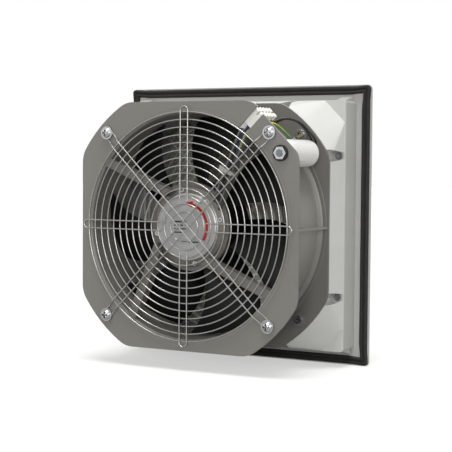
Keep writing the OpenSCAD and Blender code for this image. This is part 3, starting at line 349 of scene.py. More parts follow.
for i in range(mat_steps):
    for j in range(mat_steps):
        a = i * row + j
        mat_faces.append((a, a + 1, a + row + 1, a + row))
        mat_faces.append(tuple(row * row + q for q in (a, a + row, a + row + 1, a + 1)))
rim = [(i, 0) for i in range(mat_steps)] + [(mat_steps, j) for j in range(mat_steps)]
rim += [(mat_steps - i, mat_steps) for i in range(mat_steps)]
rim += [(0, mat_steps - j) for j in range(mat_steps)]
for n, (i, j) in enumerate(rim):
    k, m = rim[(n + 1) % len(rim)]
    mat_faces.append((i * row + j, k * row + m,
                      row * row + k * row + m, row * row + i * row + j))
fleece = principled("polyester_fleece_needled", "a3a29b", 0.95, 2.2, 0.5, tone=0.09,
                    edge_mm=0.1, cloud_mm=6, Sheen_Weight=0.5)
tree = fleece.node_tree
through_share = 0.35
through = add_node(tree, "ShaderNodeBsdfTranslucent", {"Color": from_hex("e4e2d8")})
lofty = add_node(tree, "ShaderNodeMixShader", {0: through_share},
                 {1: node_of(fleece, "BSDF_PRINCIPLED").outputs[0], 2: through.outputs[0]})
tree.links.new(lofty.outputs[0], node_of(fleece, "OUTPUT_MATERIAL").inputs["Surface"])
mat = mesh_piece("filter_mat_fleece", mat_points, mat_faces, fleece, "housing")
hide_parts("filter_mat")

# --- Mat fibres -------------------------------------------------------------------------
# Loose polyester fibres that stand off the needled face of the mat, bent and lying every
# way: they break up its surface where it shows between the grille and the blades.


def geometry_tree(name, **sizes):
    """A geometry tree with named size inputs: returns it, its input sockets and its output."""
    tree = bpy.data.node_groups.new(name, "GeometryNodeTree")
    tree.interface.new_socket("Geometry", in_out="OUTPUT", socket_type="NodeSocketGeometry")
    for key, value in sizes.items():
        kind = "NodeSocketInt" if isinstance(value, int) else "NodeSocketFloat"
        tree.interface.new_socket(key, in_out="INPUT", socket_type=kind)
    tree["sizes"] = sizes
    return tree, tree.nodes.new("NodeGroupInput").outputs, tree.nodes.new("NodeGroupOutput")


def node_piece(name, tree, body):
    """Runs a geometry tree once and keeps what it makes as one finished mesh on a body."""
    maker = bpy.data.objects.new(name + "_maker", bpy.data.meshes.new(name + "_maker"))
    scene.collection.objects.link(maker)
    build = maker.modifiers.new("build", "NODES")
    build.node_group = tree
    for item in tree.interface.items_tree:
        if item.in_out == "INPUT":
            build[item.identifier] = tree["sizes"][item.name]
    view = bpy.context.evaluated_depsgraph_get()
    mesh = bpy.data.meshes.new_from_object(maker.evaluated_get(view), depsgraph=view)
    bpy.data.objects.remove(maker)
    mesh.name = name
    piece = bpy.data.objects.new(name, mesh)
    scene.collection.objects.link(piece)
    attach(piece, body)
    return piece


def finish_tree(tree, out, geometry, finish):
    """Ends a tree: instances made real, smooth shading and material set."""
    real = add_node(tree, "GeometryNodeRealizeInstances", links={"Geometry": geometry})
    real = add_node(tree, "GeometryNodeSetShadeSmooth", {"Shade Smooth": True},
                    {"Geometry": real.outputs[0]})
    real = add_node(tree, "GeometryNodeSetMaterial", {"Material": finish},
                    {"Geometry": real.outputs[0]})
    tree.links.new(real.outputs[0], out.inputs[0])


fibre_tree, fibre_size, fibre_out = geometry_tree(
    "fibres", side=2 * (mat_half - 4) * mm, per_square_metre=42000.0,
    height=(mat_rear - 1.3) * mm, thickness=0.06 * mm)
spread = add_node(fibre_tree, "GeometryNodeMeshGrid", {"Vertices X": 2, "Vertices Y": 2},
                  {"Size X": fibre_size["side"], "Size Y": fibre_size["side"]})
scattered = add_node(fibre_tree, "GeometryNodeDistributePointsOnFaces", {"Seed": 7},
                     {"Mesh": spread.outputs["Mesh"],
                      "Density": fibre_size["per_square_metre"]})
strand = add_node(fibre_tree, "GeometryNodeCurveQuadraticBezier",
                  {"Resolution": 3, "Start": (-3.0 * mm, 0, 0.05 * mm),
                   "Middle": (0, 1.4 * mm, 0.5 * mm), "End": (3.0 * mm, 0, 0.1 * mm)})
section = add_node(fibre_tree, "GeometryNodeCurvePrimitiveCircle", {"Resolution": 3},
                   {"Radius": fibre_size["thickness"]})
thread = add_node(fibre_tree, "GeometryNodeCurveToMesh",
                  links={"Curve": strand.outputs[0], "Profile Curve": section.outputs["Curve"]})
lie = add_node(fibre_tree, "FunctionNodeRandomValue",
               {0: (-0.2, -0.15, 0), 1: (0.2, 0.15, 2 * math.pi)}, data_type="FLOAT_VECTOR")
scale = add_node(fibre_tree, "FunctionNodeRandomValue", {2: 0.6, 3: 1.3}, data_type="FLOAT")
strewn = add_node(fibre_tree, "GeometryNodeInstanceOnPoints",
                  links={"Points": scattered.outputs["Points"], "Instance": thread.outputs[0],
                         "Rotation": lie.outputs[0], "Scale": scale.outputs[1]})
depth = add_node(fibre_tree, "ShaderNodeCombineXYZ", links={"Y": fibre_size["height"]})
upright = add_node(fibre_tree, "GeometryNodeTransform", {"Rotation": (-math.pi / 2, 0, 0)},
                   {"Geometry": strewn.outputs[0], "Translation": depth.outputs[0]})
finish_tree(fibre_tree, fibre_out, upright.outputs[0], fleece)
node_piece("mat_loose_fibres", fibre_tree, "housing")

# --- Louvred cover ----------------------------------------------------------------------
# Shell of the cover, moulded in the same light grey ABS as the frame, with leaning side
# walls and a rolled lower edge; it swings on two pins and clips in at the top.
finish_node("louvre_cover", light_abs)

# --- Louvre slats -----------------------------------------------------------------------
# Twelve sloping slats on three ribs, one moulding pressed into the cover from behind. Same
# ABS as the shell, so that cover and slats read as one.
finish_node("louvre_slats", light_abs)

# --- Hinge pins -------------------------------------------------------------------------
# Ground steel pins, 4 mm, pressed into the cover's bosses and free in the frame's ears:
# bright ends with a clean, narrow highlight.
finish_node("hinge_pins", principled("steel_ground", "b4b6b8", 0.28, 0.5, 0.01, metal=1.0))

# --- Cover catches ----------------------------------------------------------------------
# Two sprung hooks on the front of the flange, that hold the cover at its top; moulded in
# the frame's light grey ABS.
finish_node("cover_catches", light_abs)

# --- Fan carrier ------------------------------------------------------------------------
# Adapter between frame and fan, thin walls in pale grey ABS, satin. Its corners run as
# flat facets from the cut corners of the base to the fan's round ones.
finish_node("fan_carrier",
            principled("ABS_pale_grey_moulded", "c6c6c2", 0.42, 1.0, 0.03, tone=0.03))

# --- Carrier screws ---------------------------------------------------------------------
# Pan-head screws, sunk in the carrier's pockets. Zinc plated and gone dull, darker than
# the screws of the fan.
finish_node("carrier_screws",
            principled("zinc_plate_dull", "8f9194", 0.3, 0.6, 0.02, metal=0.9))

# --- Nozzle -----------------------------------------------------------------------------
# Spun steel tube with round outlet lip, powder coated in the plates' satin mid grey, painted
# a touch paler as light where it faces the lamps: the coat has a faint orange peel of about 1.5
# mm.
finish_node("nozzle", principled("powder_coat_mid_grey_painted_light", "83817b", 0.42, 1.6, 0.05,
                                 tone=0.03, edge_mm=0.06))

# --- Inlet ring -------------------------------------------------------------------------
# Bell-mouth of the nozzle, rolled from the same sheet and coated like the plates. It is
# flush with the front plate, and the coat runs over the seam and softens its edges.
grey_coat = principled("powder_coat_mid_grey", "7a7873", 0.42, 1.6, 0.05, tone=0.03,
                       edge_mm=0.7)
finish_node("inlet_ring", grey_coat)

# --- Rear plate -------------------------------------------------------------------------
# Pressed steel square with large round corners, one of them cut straight as a tab for the
# terminal block; coated like the inlet ring.
finish_node("rear_plate", grey_coat)

# --- Front plate ------------------------------------------------------------------------
# Square plate that bolts on the carrier, with raised bosses at its screws. Its coat is the
# plates' grey painted a little deeper as shade on its shadowed face, and its pressed edges are
# crisp.
front_coat_painted_shade = principled("powder_coat_mid_grey_painted_shade", "6a6863", 0.42, 1.6, 0.05,
                        tone=0.03, edge_mm=0.06)
finish_node("front_plate", front_coat_painted_shade)

# --- Seam bead --------------------------------------------------------------------------
# Flat bead of weld, ground and painted over, where the bell-mouth meets the front plate: it
# carries the round of the sheet into the plate without a line.


def lathe(profile, steps):
    """Points and faces of a profile of radius and depth, turned about the fan's axis."""
    points, faces, n = [], [], len(profile)
    for k in range(steps):
        a = 2 * math.pi * k / steps
        points += [place(reach * math.cos(a), reach * math.sin(a), z) for reach, z in profile]
    for k in range(steps):
        for j in range(n - 1):
            a, b = k * n + j, ((k + 1) % steps) * n + j
            faces.append((a, a + 1, b + 1, b) if profile[j][0] and profile[j + 1][0] else
                         (a, a + 1, b + 1) if profile[j + 1][0] else (a, a + 1, b))
    return points, faces


boss_rise, bead_steps = 2, 180
bead_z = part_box("front_plate")[1].y / mm - boss_rise
bead_points, bead_faces = lathe(
    [(133.3, bead_z + 0.26), (134.2, bead_z + 0.28), (135.5, bead_z + 0.2),
     (137, bead_z + 0.1), (137.8, bead_z + 0.02), (137.8, bead_z - 0.2),
     (133.3, bead_z - 0.2), (133.3, bead_z + 0.26)], bead_steps)
# The bead takes the front plate's grey, painted deeper as shade.
bead = mesh_piece("seam_bead", bead_points, bead_faces, front_coat_painted_shade, "housing")

# --- Plate webs -------------------------------------------------------------------------
# Four short stiffeners welded between the plates at the middle of the sides; coated with
# the plates, so that only their edges catch the light.
finish_node("plate_webs", grey_coat)

# --- Housing screws ---------------------------------------------------------------------
# Pan-head screws through front plate and carrier, zinc plated and clear passivated: cold
# and bright on the crowns, with shade painted dark into the recess and round the head.
mix_a, mix_b, mix_out = 6, 7, 2  # colour sockets of a mix node
zinc = principled("zinc_plate_clear", "c8cacc", 0.2, 0.7, 0.015, metal=1.0)
tree = zinc.node_tree
# Painted shade: ambient occlusion darkens the zinc towards 232323 in recesses and where it meets
# other parts.
hollow = add_node(tree, "ShaderNodeAmbientOcclusion", {"Distance": 2.6 * mm}, samples=6,
                  only_local=True)
unshaded_share = add_node(tree, "ShaderNodeMapRange",
                 {"From Min": 0.35, "From Max": 0.85, "To Min": 0.0, "To Max": 1.0},
                 {"Value": hollow.outputs["AO"]})
painted_shade_mix = add_node(tree, "ShaderNodeMix", {mix_a: from_hex("232323")},
                 {"Factor": unshaded_share.outputs["Result"],
                  mix_b: node_of(zinc, "VALTORGB").outputs[0]}, data_type="RGBA")
tree.links.new(painted_shade_mix.outputs[mix_out], node_of(zinc, "BSDF_PRINCIPLED").inputs["Base Color"])
finish_node("housing_screws", zinc)

# --- Housing nuts -----------------------------------------------------------------------
# Hexagon nuts under the carrier's top plate, in the same zinc plate, with shade painted dark
# where they sit on it.
finish_node("housing_nuts", zinc)

# --- Guard rings ------------------------------------------------------------------------
# Fourteen rings of bright-drawn steel wire, zinc plated: narrow highlights on a grey
# mirror, softened by the drawing lines.
bright = principled("zinc_plate_bright_wire", "a9a8a4", 0.28, 0.8, 0.01, metal=1.0,
                    edge_mm=0.1)
ring_low, ring_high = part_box("guard_rings")
wire_r = (ring_high.y - ring_low.y) / 2 / mm
ring_out_r = ring_high.x / mm - wire_r
ring_n, ring_in_r = 14, 17.4
ring_plane = (ring_low.y + ring_high.y) / 2 / mm
ring_tree, ring_size, ring_out = geometry_tree(
    "rings", count=ring_n, innermost=ring_in_r * mm, depth=ring_plane * mm,
    step=(ring_out_r - ring_in_r) / (ring_n - 1) * mm, wire=wire_r * mm)
centre = add_node(ring_tree, "GeometryNodeMeshLine", {"Offset": (0, 0, 0)},
                  {"Count": ring_size["count"]})
index = add_node(ring_tree, "GeometryNodeInputIndex").outputs[0]
reach = math_node(ring_tree, "MULTIPLY_ADD", index, ring_size["step"], ring_size["innermost"])
hoop = add_node(ring_tree, "GeometryNodeCurvePrimitiveCircle",
                {"Resolution": 180, "Radius": 1.0})
hoops = add_node(ring_tree, "GeometryNodeInstanceOnPoints",
                 links={"Points": centre.outputs[0], "Instance": hoop.outputs["Curve"],
                        "Scale": reach})
hoops = add_node(ring_tree, "GeometryNodeRealizeInstances",
                 links={"Geometry": hoops.outputs[0]})
section = add_node(ring_tree, "GeometryNodeCurvePrimitiveCircle", {"Resolution": 12},
                   {"Radius": ring_size["wire"]})
hoops = add_node(ring_tree, "GeometryNodeCurveToMesh",
                 links={"Curve": hoops.outputs[0], "Profile Curve": section.outputs["Curve"]})
depth = add_node(ring_tree, "ShaderNodeCombineXYZ", links={"Y": ring_size["depth"]})
hoops = add_node(ring_tree, "GeometryNodeTransform", {"Rotation": (math.pi / 2, 0, 0)},
                 {"Geometry": hoops.outputs[0], "Translation": depth.outputs[0]})
finish_tree(ring_tree, ring_out, hoops.outputs[0], bright)
rings = node_piece("guard_rings_wire", ring_tree, "housing")
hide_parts("guard_rings")

# --- Guard spokes -----------------------------------------------------------------------
# Double wires that carry the rings, bent to eyes at the four corner screws; plated with
# the rings, and as bright.
finish_node("guard_spokes", bright)

# --- Guard welds ------------------------------------------------------------------------
# Resistance welds where every ring crosses every spoke wire: low beads squeezed out on
# both sides of the joint, plated over with the wire.
spokes, spoke_half, short_spoke_in_r = 8, 4.75, 29.5
weld_plane = ring_plane + 0.8 * wire_r
weld_spots = []
for k in range(spokes):
    turn = k * math.pi / 4
    for i in range(ring_n):
        reach = ring_in_r + (ring_out_r - ring_in_r) * i / (ring_n - 1)
        if reach <= short_spoke_in_r and k % 2 == 0:
            continue
        for across in (-spoke_half, spoke_half):
            along = math.sqrt(max(reach * reach - across * across, 0))
            weld_spots.append(place(along * math.cos(turn) - across * math.sin(turn),
                                    along * math.sin(turn) + across * math.cos(turn),
                                    weld_plane))
weld_tree, weld_size, weld_out = geometry_tree("welds", bead=1.25 * wire_r * mm)
spots = bpy.data.meshes.new("weld_spots")
spots.from_pydata(weld_spots, [], [])
spots_at = bpy.data.objects.new("weld_spots_maker", spots)
at = add_node(weld_tree, "GeometryNodeObjectInfo", {"Object": spots_at})
points = add_node(weld_tree, "GeometryNodeMeshToPoints", links={"Mesh": at.outputs["Geometry"]})
drop = add_node(weld_tree, "GeometryNodeMeshUVSphere", {"Segments": 10, "Rings": 6},
                {"Radius": weld_size["bead"]})
drops = add_node(weld_tree, "GeometryNodeInstanceOnPoints", {"Scale": (1.0, 0.72, 1.0)},
                 {"Points": points.outputs[0], "Instance": drop.outputs["Mesh"]})
finish_tree(weld_tree, weld_out, drops.outputs[0], bright)
node_piece("guard_welds", weld_tree, "housing")
bpy.data.objects.remove(spots_at)

# --- Guard screws -----------------------------------------------------------------------
# Domed cross-recess screws with a collar that clamps the guard's eyes, zinc plated: the
# dome takes a round highlight and the recess is painted dark as shade.
finish_node("guard_screws", zinc)

# --- Guard nuts -------------------------------------------------------------------------
# Nuts behind the rear plate, in the screws' zinc plate, seen only through the gap between
# the plates.
finish_node("guard_nuts", zinc)

# --- Motor struts -----------------------------------------------------------------------
# Ring and four struts of folded steel, powder coated in the housing's grey painted darker as
# shade, near the front plate's, softly rounded on the folds; the upper right one is a channel for
# the lead.
finish_node("motor_struts", principled("powder_coat_strut_grey_painted_shade", "6d6b66", 0.42, 1.6, 0.05,
                                       tone=0.04, edge_mm=0.6))

# --- Stator flange ----------------------------------------------------------------------
# Die-cast aluminium, turned on its rear face and as cast on its sunk rim. The turned part
# is bright silver with circular tool marks, drawn 2.4 mm apart so that they show; the
# cast rim has gone grey-brown.


def tint(finish, mask, color):
    """Lays a second colour over a finish, as far as the mask goes from 0 to 1."""
    coat = node_of(finish, "BSDF_PRINCIPLED").inputs["Base Color"]
    both = add_node(finish.node_tree, "ShaderNodeMix", {mix_b: from_hex(color)},
                    {"Factor": mask, mix_a: coat.links[0].from_socket}, data_type="RGBA")
    finish.node_tree.links.new(both.outputs[mix_out], coat)


flange_low, flange_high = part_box("stator_flange")
flange_r, step_rear, tube_front = flange_high.x / mm, flange_high.y / mm, flange_low.y / mm
step_r, rim_rear, rim_front = flange_r - 7, step_rear - 4, step_rear - 6.9
tube_r, bore_r, seat_r, flange_steps = 14, 11.05, 35, 144
cast_points, cast_faces = lathe(
    [(0, step_rear - 0.3), (seat_r, step_rear - 0.3), (seat_r + 0.4, step_rear),
     (step_r - 1, step_rear), (step_r - 0.35, step_rear - 0.3), (step_r, step_rear - 1),
     (step_r, rim_rear + 0.8), (step_r + 0.3, rim_rear + 0.3), (step_r + 1, rim_rear),
     (flange_r - 0.9, rim_rear), (flange_r - 0.2, rim_rear - 0.3), (flange_r, rim_rear - 0.9),
     (flange_r, rim_front + 0.5), (flange_r - 0.5, rim_front), (tube_r, rim_front),
     (tube_r, tube_front + 0.5), (13.6, tube_front), (11.5, tube_front),
     (bore_r, tube_front + 0.5), (bore_r, step_rear - 2), (0, step_rear - 2)], flange_steps)
cast = principled("aluminium_turned", "cbcac8", 0.32, 0.8, 0.02, metal=0.75)
tree = cast.node_tree
mark_gap = 2.4
where = add_node(tree, "ShaderNodeTexCoord").outputs["Object"]
flat = add_node(tree, "ShaderNodeVectorMath", {1: (1, 0, 1)}, {0: where}, operation="MULTIPLY")
radius = add_node(tree, "ShaderNodeVectorMath", links={0: flat.outputs[0]},
                  operation="LENGTH").outputs["Value"]
marks = math_node(tree, "SINE",
                  math_node(tree, "MULTIPLY", radius, 2 * math.pi / (mark_gap * mm)))
tooled = add_node(tree, "ShaderNodeBump", {"Strength": 0.5, "Distance": 0.06 * mm},
                  {"Height": marks, "Normal": node_of(cast, "BUMP").outputs["Normal"]})
tree.links.new(tooled.outputs[0], node_of(cast, "BSDF_PRINCIPLED").inputs["Normal"])
rim_share = add_node(tree, "ShaderNodeMapRange",
                     {"From Min": (step_r - 0.2) * mm, "From Max": (step_r + 0.4) * mm},
                     {"Value": radius})
tint(cast, rim_share.outputs[0], "7d7973")
stator_flange = mesh_piece("stator_flange_cast", cast_points, cast_faces, cast, "housing")
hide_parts("stator_flange")

# --- Stator screws ----------------------------------------------------------------------
# Four small pan-head screws, zinc plated: bright points on the turned face, with shade
# painted dark into each recess.
finish_node("stator_screws", zinc)

# --- Motor label ------------------------------------------------------------------------
# Disc of matt silver foil, printed flat with plain dark bars and a plain red arrow for
# the sense of rotation.


def axes_of(tree, kind, output):
    """The X, Y and Z outputs of a vector that an input node gives."""
    source = add_node(tree, kind).outputs[output]
    return add_node(tree, "ShaderNodeSeparateXYZ", links={0: source}).outputs


foil = principled("aluminium_foil_matt", "b0b0af", 0.38, 0.5, 0.01, metal=0.6)
tree = foil.node_tree
where = axes_of(tree, "ShaderNodeTexCoord", "Object")
across, upward = math_node(tree, "MULTIPLY", where["X"], -1.0), where["Z"]
turn_at = math_node(tree, "ARCTAN2", upward, across)
on_disc = add_node(tree, "ShaderNodeCombineXYZ", links={0: across, 1: upward})
reach_at = add_node(tree, "ShaderNodeVectorMath", links={0: on_disc.outputs[0]},
                    operation="LENGTH").outputs["Value"]


def within(value, middle, half):
    """1 where value lies within half of the middle, else 0; half is a number or a socket."""
    off = math_node(tree, "ABSOLUTE", math_node(tree, "SUBTRACT", value, middle))
    return math_node(tree, "LESS_THAN", off, half)


arrow_r, arrow_half, arrow_tip, head_slope = 26 * mm, 1.6 * mm, 1.7, -9.5 * mm
arc_turn, head_turn = (0.35, 0.95), (1.5, 0.21)  # middle and half, in radians
arc = math_node(tree, "MULTIPLY", within(reach_at, arrow_r, arrow_half),
                within(turn_at, *arc_turn))
taper = math_node(tree, "MULTIPLY", math_node(tree, "SUBTRACT", turn_at, arrow_tip), head_slope)
head = math_node(tree, "MULTIPLY", within(reach_at, arrow_r, taper),
                 within(turn_at, *head_turn))
arrow = math_node(tree, "MAXIMUM", arc, head)
bars = None
for middle_x, middle_z, half_x, half_z in ((-9, 5.5, 8, 1.0), (-11, 1.5, 6, 0.7),
                                           (-8, -2.5, 9, 0.7), (-10, -6.5, 7, 0.7),
                                           (4, -17, 12, 0.8)):
    bar = math_node(tree, "MULTIPLY", within(across, middle_x * mm, half_x * mm),
                    within(upward, middle_z * mm, half_z * mm))
    bars = bar if bars is None else math_node(tree, "MAXIMUM", bars, bar)
tint(foil, bars, "3a3a3b")
tint(foil, arrow, "b3201c")
finish_node("motor_label", foil)

# --- Stator core ------------------------------------------------------------------------
# Stack of electrical steel sheets with twelve slots, blued to a cold dark grey: only the
# edges of the sheets ever show.
finish_node("stator_core",
            principled("electrical_steel", "6a6c70", 0.45, 0.5, 0.02, metal=0.9))

# --- Stator winding ---------------------------------------------------------------------
# End turns of enamelled copper at both ends of the core, under a varnish that makes them
# red-brown and glossy.
finish_node("stator_winding",
            principled("copper_enamelled", "a3602f", 0.3, 0.6, 0.05, metal=0.8))

# --- Bearings ---------------------------------------------------------------------------
# Two ball bearings pressed into the bearing tube, their rings in ground steel with a
# near-mirror face.
finish_node("bearings", principled("bearing_steel", "c0c2c4", 0.22, 0.5, 0.008, metal=1.0))

# --- Rotor shaft ------------------------------------------------------------------------
# Shaft fixed in the floor of the rotor can, in ground steel: the brightest metal inside
# the motor.
finish_node("rotor_shaft", principled("shaft_steel", "c4c6c8", 0.2, 0.4, 0.008, metal=1.0))

# --- Shaft clip -------------------------------------------------------------------------
# Spring ring that holds the shaft at the rear bearing, in steel with a satin skin of
# black oxide.
finish_node("shaft_clip",
            principled("steel_black_oxide_clip", "2a2a2b", 0.42, 0.6, 0.02, metal=0.6))

# --- Rotor can --------------------------------------------------------------------------
# Deep-drawn steel can, black painted, with a slight sheen on its rounded edge where it
# shows round the stator flange.
finish_node("rotor_can",
            principled("steel_black_paint", "2c2a29", 0.42, 1.2, 0.03, edge_mm=0.9))

# --- Rotor cage -------------------------------------------------------------------------
# Laminated ring with a cast aluminium cage inside the can, in a plain cast grey that
# hardly shines.
finish_node("rotor_cage", principled("aluminium_cage", "8d8e90", 0.45, 0.7, 0.02, metal=0.8))

# --- Impeller ---------------------------------------------------------------------------
# Seven blades on a hub band, injection moulded in black glass-filled polyamide and
# pressed on the rotor can. Airfoil sections, thick at the root fillet and thin at the
# trailing edge, satin with faint flow marks.
blade_count, blade_first = 7, 41.7
root_r, tip_r, hub_r, hub_in_r = 48.0, 124.0, 49.0, 46.55
hub_front, hub_rear = 77.5, 119.5
blade_cols, even_spans, hub_steps = 18, 18, 128
chord_root, pitch_root, pitch_loss, sweep, camber, blade_in = 36, 36, 11, 15, 5, 2.5
wall_gain, wall_t, least_t = 1.15, 2.6, 0.32
fillet_gain, fillet_reach, round_tip = 1.1, 2.2, 0.015


def blade_section(share):
    """Closed airfoil loop at that share of the span, seen from the rear."""
    reach = root_r + share * (tip_r - root_r)
    chord, pitch = chord_root + share, pitch_root - pitch_loss * share
    fillet = 1 + fillet_gain * math.exp(-(max(reach, hub_r) - hub_r) / fillet_reach)
    tip = math.sqrt(max(0.05, 1 - max(0, share - (1 - round_tip)) / round_tip))
    loop = []
    for side in (1, -1):
        for j in range(blade_cols + (1 if side == 1 else -1)):
            j = j if side == 1 else blade_cols - 1 - j
            along = 0.5 - 0.5 * math.cos(math.pi * j / blade_cols) - 0.5
            a = math.radians(blade_first + along * chord - sweep * share * share)
            lie = -along * pitch + camber * (1 - 4 * along * along) - blade_in
            x = along + 0.5
            wall = wall_gain * wall_t * (0.2969 * math.sqrt(x) - 0.126 * x - 0.3516 * x * x
                                         + 0.2843 * x ** 3 - 0.1015 * x ** 4) * 2
            least = least_t * math.sin(math.pi * x) ** 0.3 if 0 < x < 1 else 0
            wall = max(wall, least) * fillet * tip
            loop.append((reach, a, (hub_front + hub_rear) / 2 + lie + side * wall / 2))
    return loop


spans = [0, 0.014, 0.03, 0.05, 0.075]
spans += [0.1 + 0.87 * i / even_spans for i in range(even_spans)]
spans += [0.975, 0.988, 0.996, 1.0]
sections = [blade_section(share) for share in spans]
around = len(sections[0])
blade_points, blade_faces = [], []
for k in range(blade_count):
    turn, first = math.radians(k * 360 / blade_count), len(blade_points)
    for section in sections:
        blade_points += [place(r * math.cos(a + turn), r * math.sin(a + turn), z)
                         for r, a, z in section]
    for i in range(len(sections) - 1):
        here, beyond = first + i * around, first + (i + 1) * around
        for j in range(around):
            m = (j + 1) % around
            blade_faces.append((here + j, here + m, beyond + m, beyond + j))
    last = first + (len(sections) - 1) * around
    blade_faces.append(tuple(first + j for j in range(around)))
    blade_faces.append(tuple(last + around - 1 - j for j in range(around)))
hub_profile = [(hub_in_r, hub_front + 0.5), (hub_in_r + 0.4, hub_front),
               (hub_r - 0.7, hub_front), (hub_r - 0.2, hub_front + 0.25),
               (hub_r, hub_front + 0.8), (hub_r, hub_rear - 0.8),
               (hub_r - 0.2, hub_rear - 0.25), (hub_r - 0.7, hub_rear),
               (hub_in_r + 0.4, hub_rear), (hub_in_r, hub_rear - 0.5)]
around, first = len(hub_profile), len(blade_points)
for k in range(hub_steps):
    a = 2 * math.pi * k / hub_steps
    blade_points += [place(r * math.cos(a), r * math.sin(a), z) for r, z in hub_profile]
    here, beyond = first + k * around, first + (k + 1) % hub_steps * around
    for j in range(around):
        m = (j + 1) % around
        blade_faces.append((here + j, here + m, beyond + m, beyond + j))
blade_black = principled("PA6_glass_filled_black", "09090a", 0.5, 1.2, 0.03, tone=0.2,
                         edge_mm=0.2, Specular_IOR_Level=0.2)
impeller = mesh_piece("impeller_moulded", blade_points, blade_faces, blade_black, "rotor")
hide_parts("impeller")

# --- Terminal block ---------------------------------------------------------------------
# Five poles in a row of towers, moulded in natural polyamide 6.6: creamy white, satin,
# with edges softened by the mould.
nylon = principled("PA66_natural", "e4e4dd", 0.38, 0.8, 0.02, tone=0.02, edge_mm=0.5)
block_low, block_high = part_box("terminal_block")
block_rear, block_front = block_high.y / mm, block_low.y / mm
block_start, block_side, block_wide, poles = 134.0, 19.5, 14.0, 5
body_end, tower_from, tower_end, round_at = 15.2, 15.0, 18.7, 18.6
tower_half, tower_sides, round_steps = 2.3, ((0.4, 5.9), (8.1, 13.6)), 20
pole_step = (block_rear - block_front) / poles
block = bmesh.new()


def on_corner(along, across, z):
    """A point along the plate's diagonal and across it, from the block's near corner."""
    along, across = block_start + along, block_side + across
    return place((along - across) / math.sqrt(2), (along + across) / math.sqrt(2), z)


def round_bar(start, stop, radius, steps):
    """Adds a round bar with closed ends to the block, between two points."""
    start, stop = Vector(start), Vector(stop)
    turned = (stop - start).to_track_quat("Z", "Y").to_matrix().to_4x4()
    bmesh.ops.create_cone(block, cap_ends=True, cap_tris=False, segments=steps,
                          radius1=radius, radius2=radius, depth=(stop - start).length,
                          matrix=Matrix.Translation((start + stop) / 2) @ turned)


def square_bar(low, high):
    """Adds a rectangular bar to the block, between two corners in its own axes."""
    corners = [block.verts.new(on_corner((high, low)[i < 4][0], (high, low)[i % 4 < 2][1],
                                         (high, low)[i % 2 == 0][2])) for i in range(8)]
    for quad in ((0, 1, 3, 2), (4, 6, 7, 5), (0, 4, 5, 1), (2, 3, 7, 6), (0, 2, 6, 4),
                 (1, 5, 7, 3)):
        block.faces.new([corners[q] for q in quad])


square_bar((0, 0, block_front), (body_end, block_wide, block_rear))
for i in range(poles):
    middle = block_front + (i + 0.5) * pole_step
    for near, far in tower_sides:
        square_bar((tower_from, near, middle - tower_half), (tower_end, far, middle + tower_half))
    for near, far in tower_sides:
        round_bar(on_corner(round_at, near, middle), on_corner(round_at, far, middle),
                  tower_half * mm, round_steps)
block_mesh = bpy.data.meshes.new("terminal_block_moulded")
bmesh.ops.recalc_face_normals(block, faces=block.faces)
block.to_mesh(block_mesh)
block.free()
block_mesh.materials.append(nylon)
terminal_block = bpy.data.objects.new("terminal_block_moulded", block_mesh)
scene.collection.objects.link(terminal_block)
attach(terminal_block, "housing")
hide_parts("terminal_block")

# --- Terminal screws --------------------------------------------------------------------
# Clamping screws sunk in the block's face, in plain brass: small warm points in the
# creamy white.
finish_node("terminal_screws",
            principled("brass_clamp", "b79a5a", 0.35, 0.6, 0.02, metal=1.0))

# --- Capacitor --------------------------------------------------------------------------
# Moulded white can, 30 mm, with a steel stud through the rear plate. Smooth and glossier
# than the block, with the faint waviness of a thin wall.
can_white = principled("PP_white_moulded", "e0dfdc", 0.3, 1.0, 0.02, tone=0.02)
tree = can_white.node_tree
can_end = 135.3
depth = axes_of(tree, "ShaderNodeTexCoord", "Object")["Y"]
stud = math_node(tree, "GREATER_THAN", depth, can_end * mm)
tint(can_white, stud, "86898d")
tree.links.new(stud, node_of(can_white, "BSDF_PRINCIPLED").inputs["Metallic"])
finish_node("capacitor", can_white)

# --- Capacitor ring ---------------------------------------------------------------------
# Rubber ring round the nut on the stud, black and matt: the darkest spot on the rear
# plate.
black_rubber = principled("EPDM_black", "1a1a1a", 0.7, 0.5, 0.03)
finish_node("capacitor_washer", black_rubber)

# --- Capacitor nut ----------------------------------------------------------------------
# Hexagon nut on the stud, in the screws' zinc plate: bright against the black rubber
# round it.
finish_node("capacitor_nut", zinc)

# --- Lead grommet -----------------------------------------------------------------------
# Grommet where the motor lead enters the strut, in the same matt black rubber as the
# capacitor's ring.
finish_node("lead_grommet", black_rubber)

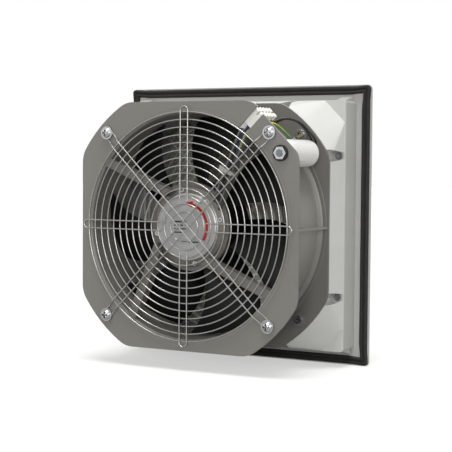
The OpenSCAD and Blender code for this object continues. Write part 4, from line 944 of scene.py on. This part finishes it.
# --- Motor lead -------------------------------------------------------------------------
# Sleeve round the four cores, lying in the channel of the upper right strut: black PVC
# with a soft sheen along its top.
finish_node("motor_lead", principled("PVC_sleeve_black", "26262a", 0.45, 0.8, 0.03))

# --- Cable tie --------------------------------------------------------------------------
# Tie round strut and lead, with its locking head at the side, in natural nylon: pale and
# satin against the dark lead.
finish_node("cable_tie", principled("PA66_natural_tie", "a8a8a1", 0.45, 0.8, 0.02,
                                    tone=0.02, edge_mm=0.3))

# --- Blue wire --------------------------------------------------------------------------
# Stranded core in blue PVC, from the sleeve to the top pole; a soft highlight runs along
# its bend.
finish_node("blue_wire", principled("PVC_blue_wire", "1f3f7c", 0.42, 0.8, 0.02, edge_mm=0.9))

# --- Brown wire -------------------------------------------------------------------------
# Stranded core to the second pole, in dark brown PVC with the same soft highlight as
# the blue one.
finish_node("brown_wire", principled("PVC_brown_wire", "54331f", 0.42, 0.8, 0.02,
                                     edge_mm=0.9))

# --- Black wire -------------------------------------------------------------------------
# Stranded core to the third pole, in black PVC, a little darker than the sleeve that it
# comes from.
finish_node("black_wire", principled("PVC_black_wire", "222224", 0.42, 0.8, 0.02,
                                     edge_mm=0.9))

# --- Capacitor leads --------------------------------------------------------------------
# Two black cores side by side from the last poles round the plate to the capacitor, a
# shade deeper than the black wire.
finish_node("capacitor_leads", principled("PVC_capacitor_leads", "101011", 0.42, 0.8, 0.02,
                                          edge_mm=0.9))

# --- Earth wire -------------------------------------------------------------------------
# Stranded core in PVC with the two colours of a protective conductor: yellow on the side
# that faces up, green below.
striped = principled("PVC_green_and_yellow", "48a63c", 0.42, 0.8, 0.02, edge_mm=0.9)
tree = striped.node_tree
facing = axes_of(tree, "ShaderNodeNewGeometry", "Normal")["Z"]
tint(striped, math_node(tree, "GREATER_THAN", facing, 0.1), "e6ca2c")
finish_node("earth_wire", striped)

# --- Earth lug --------------------------------------------------------------------------
# Crimped ring tag, plated like the screws; its flat ring and round barrel each take a
# highlight of their own.
finish_node("earth_lug", zinc)

# --- Earth screw ------------------------------------------------------------------------
# Pan-head screw that clamps the ring tag on the front plate, zinc plated like the other
# screws of the housing.
finish_node("earth_screw", zinc)
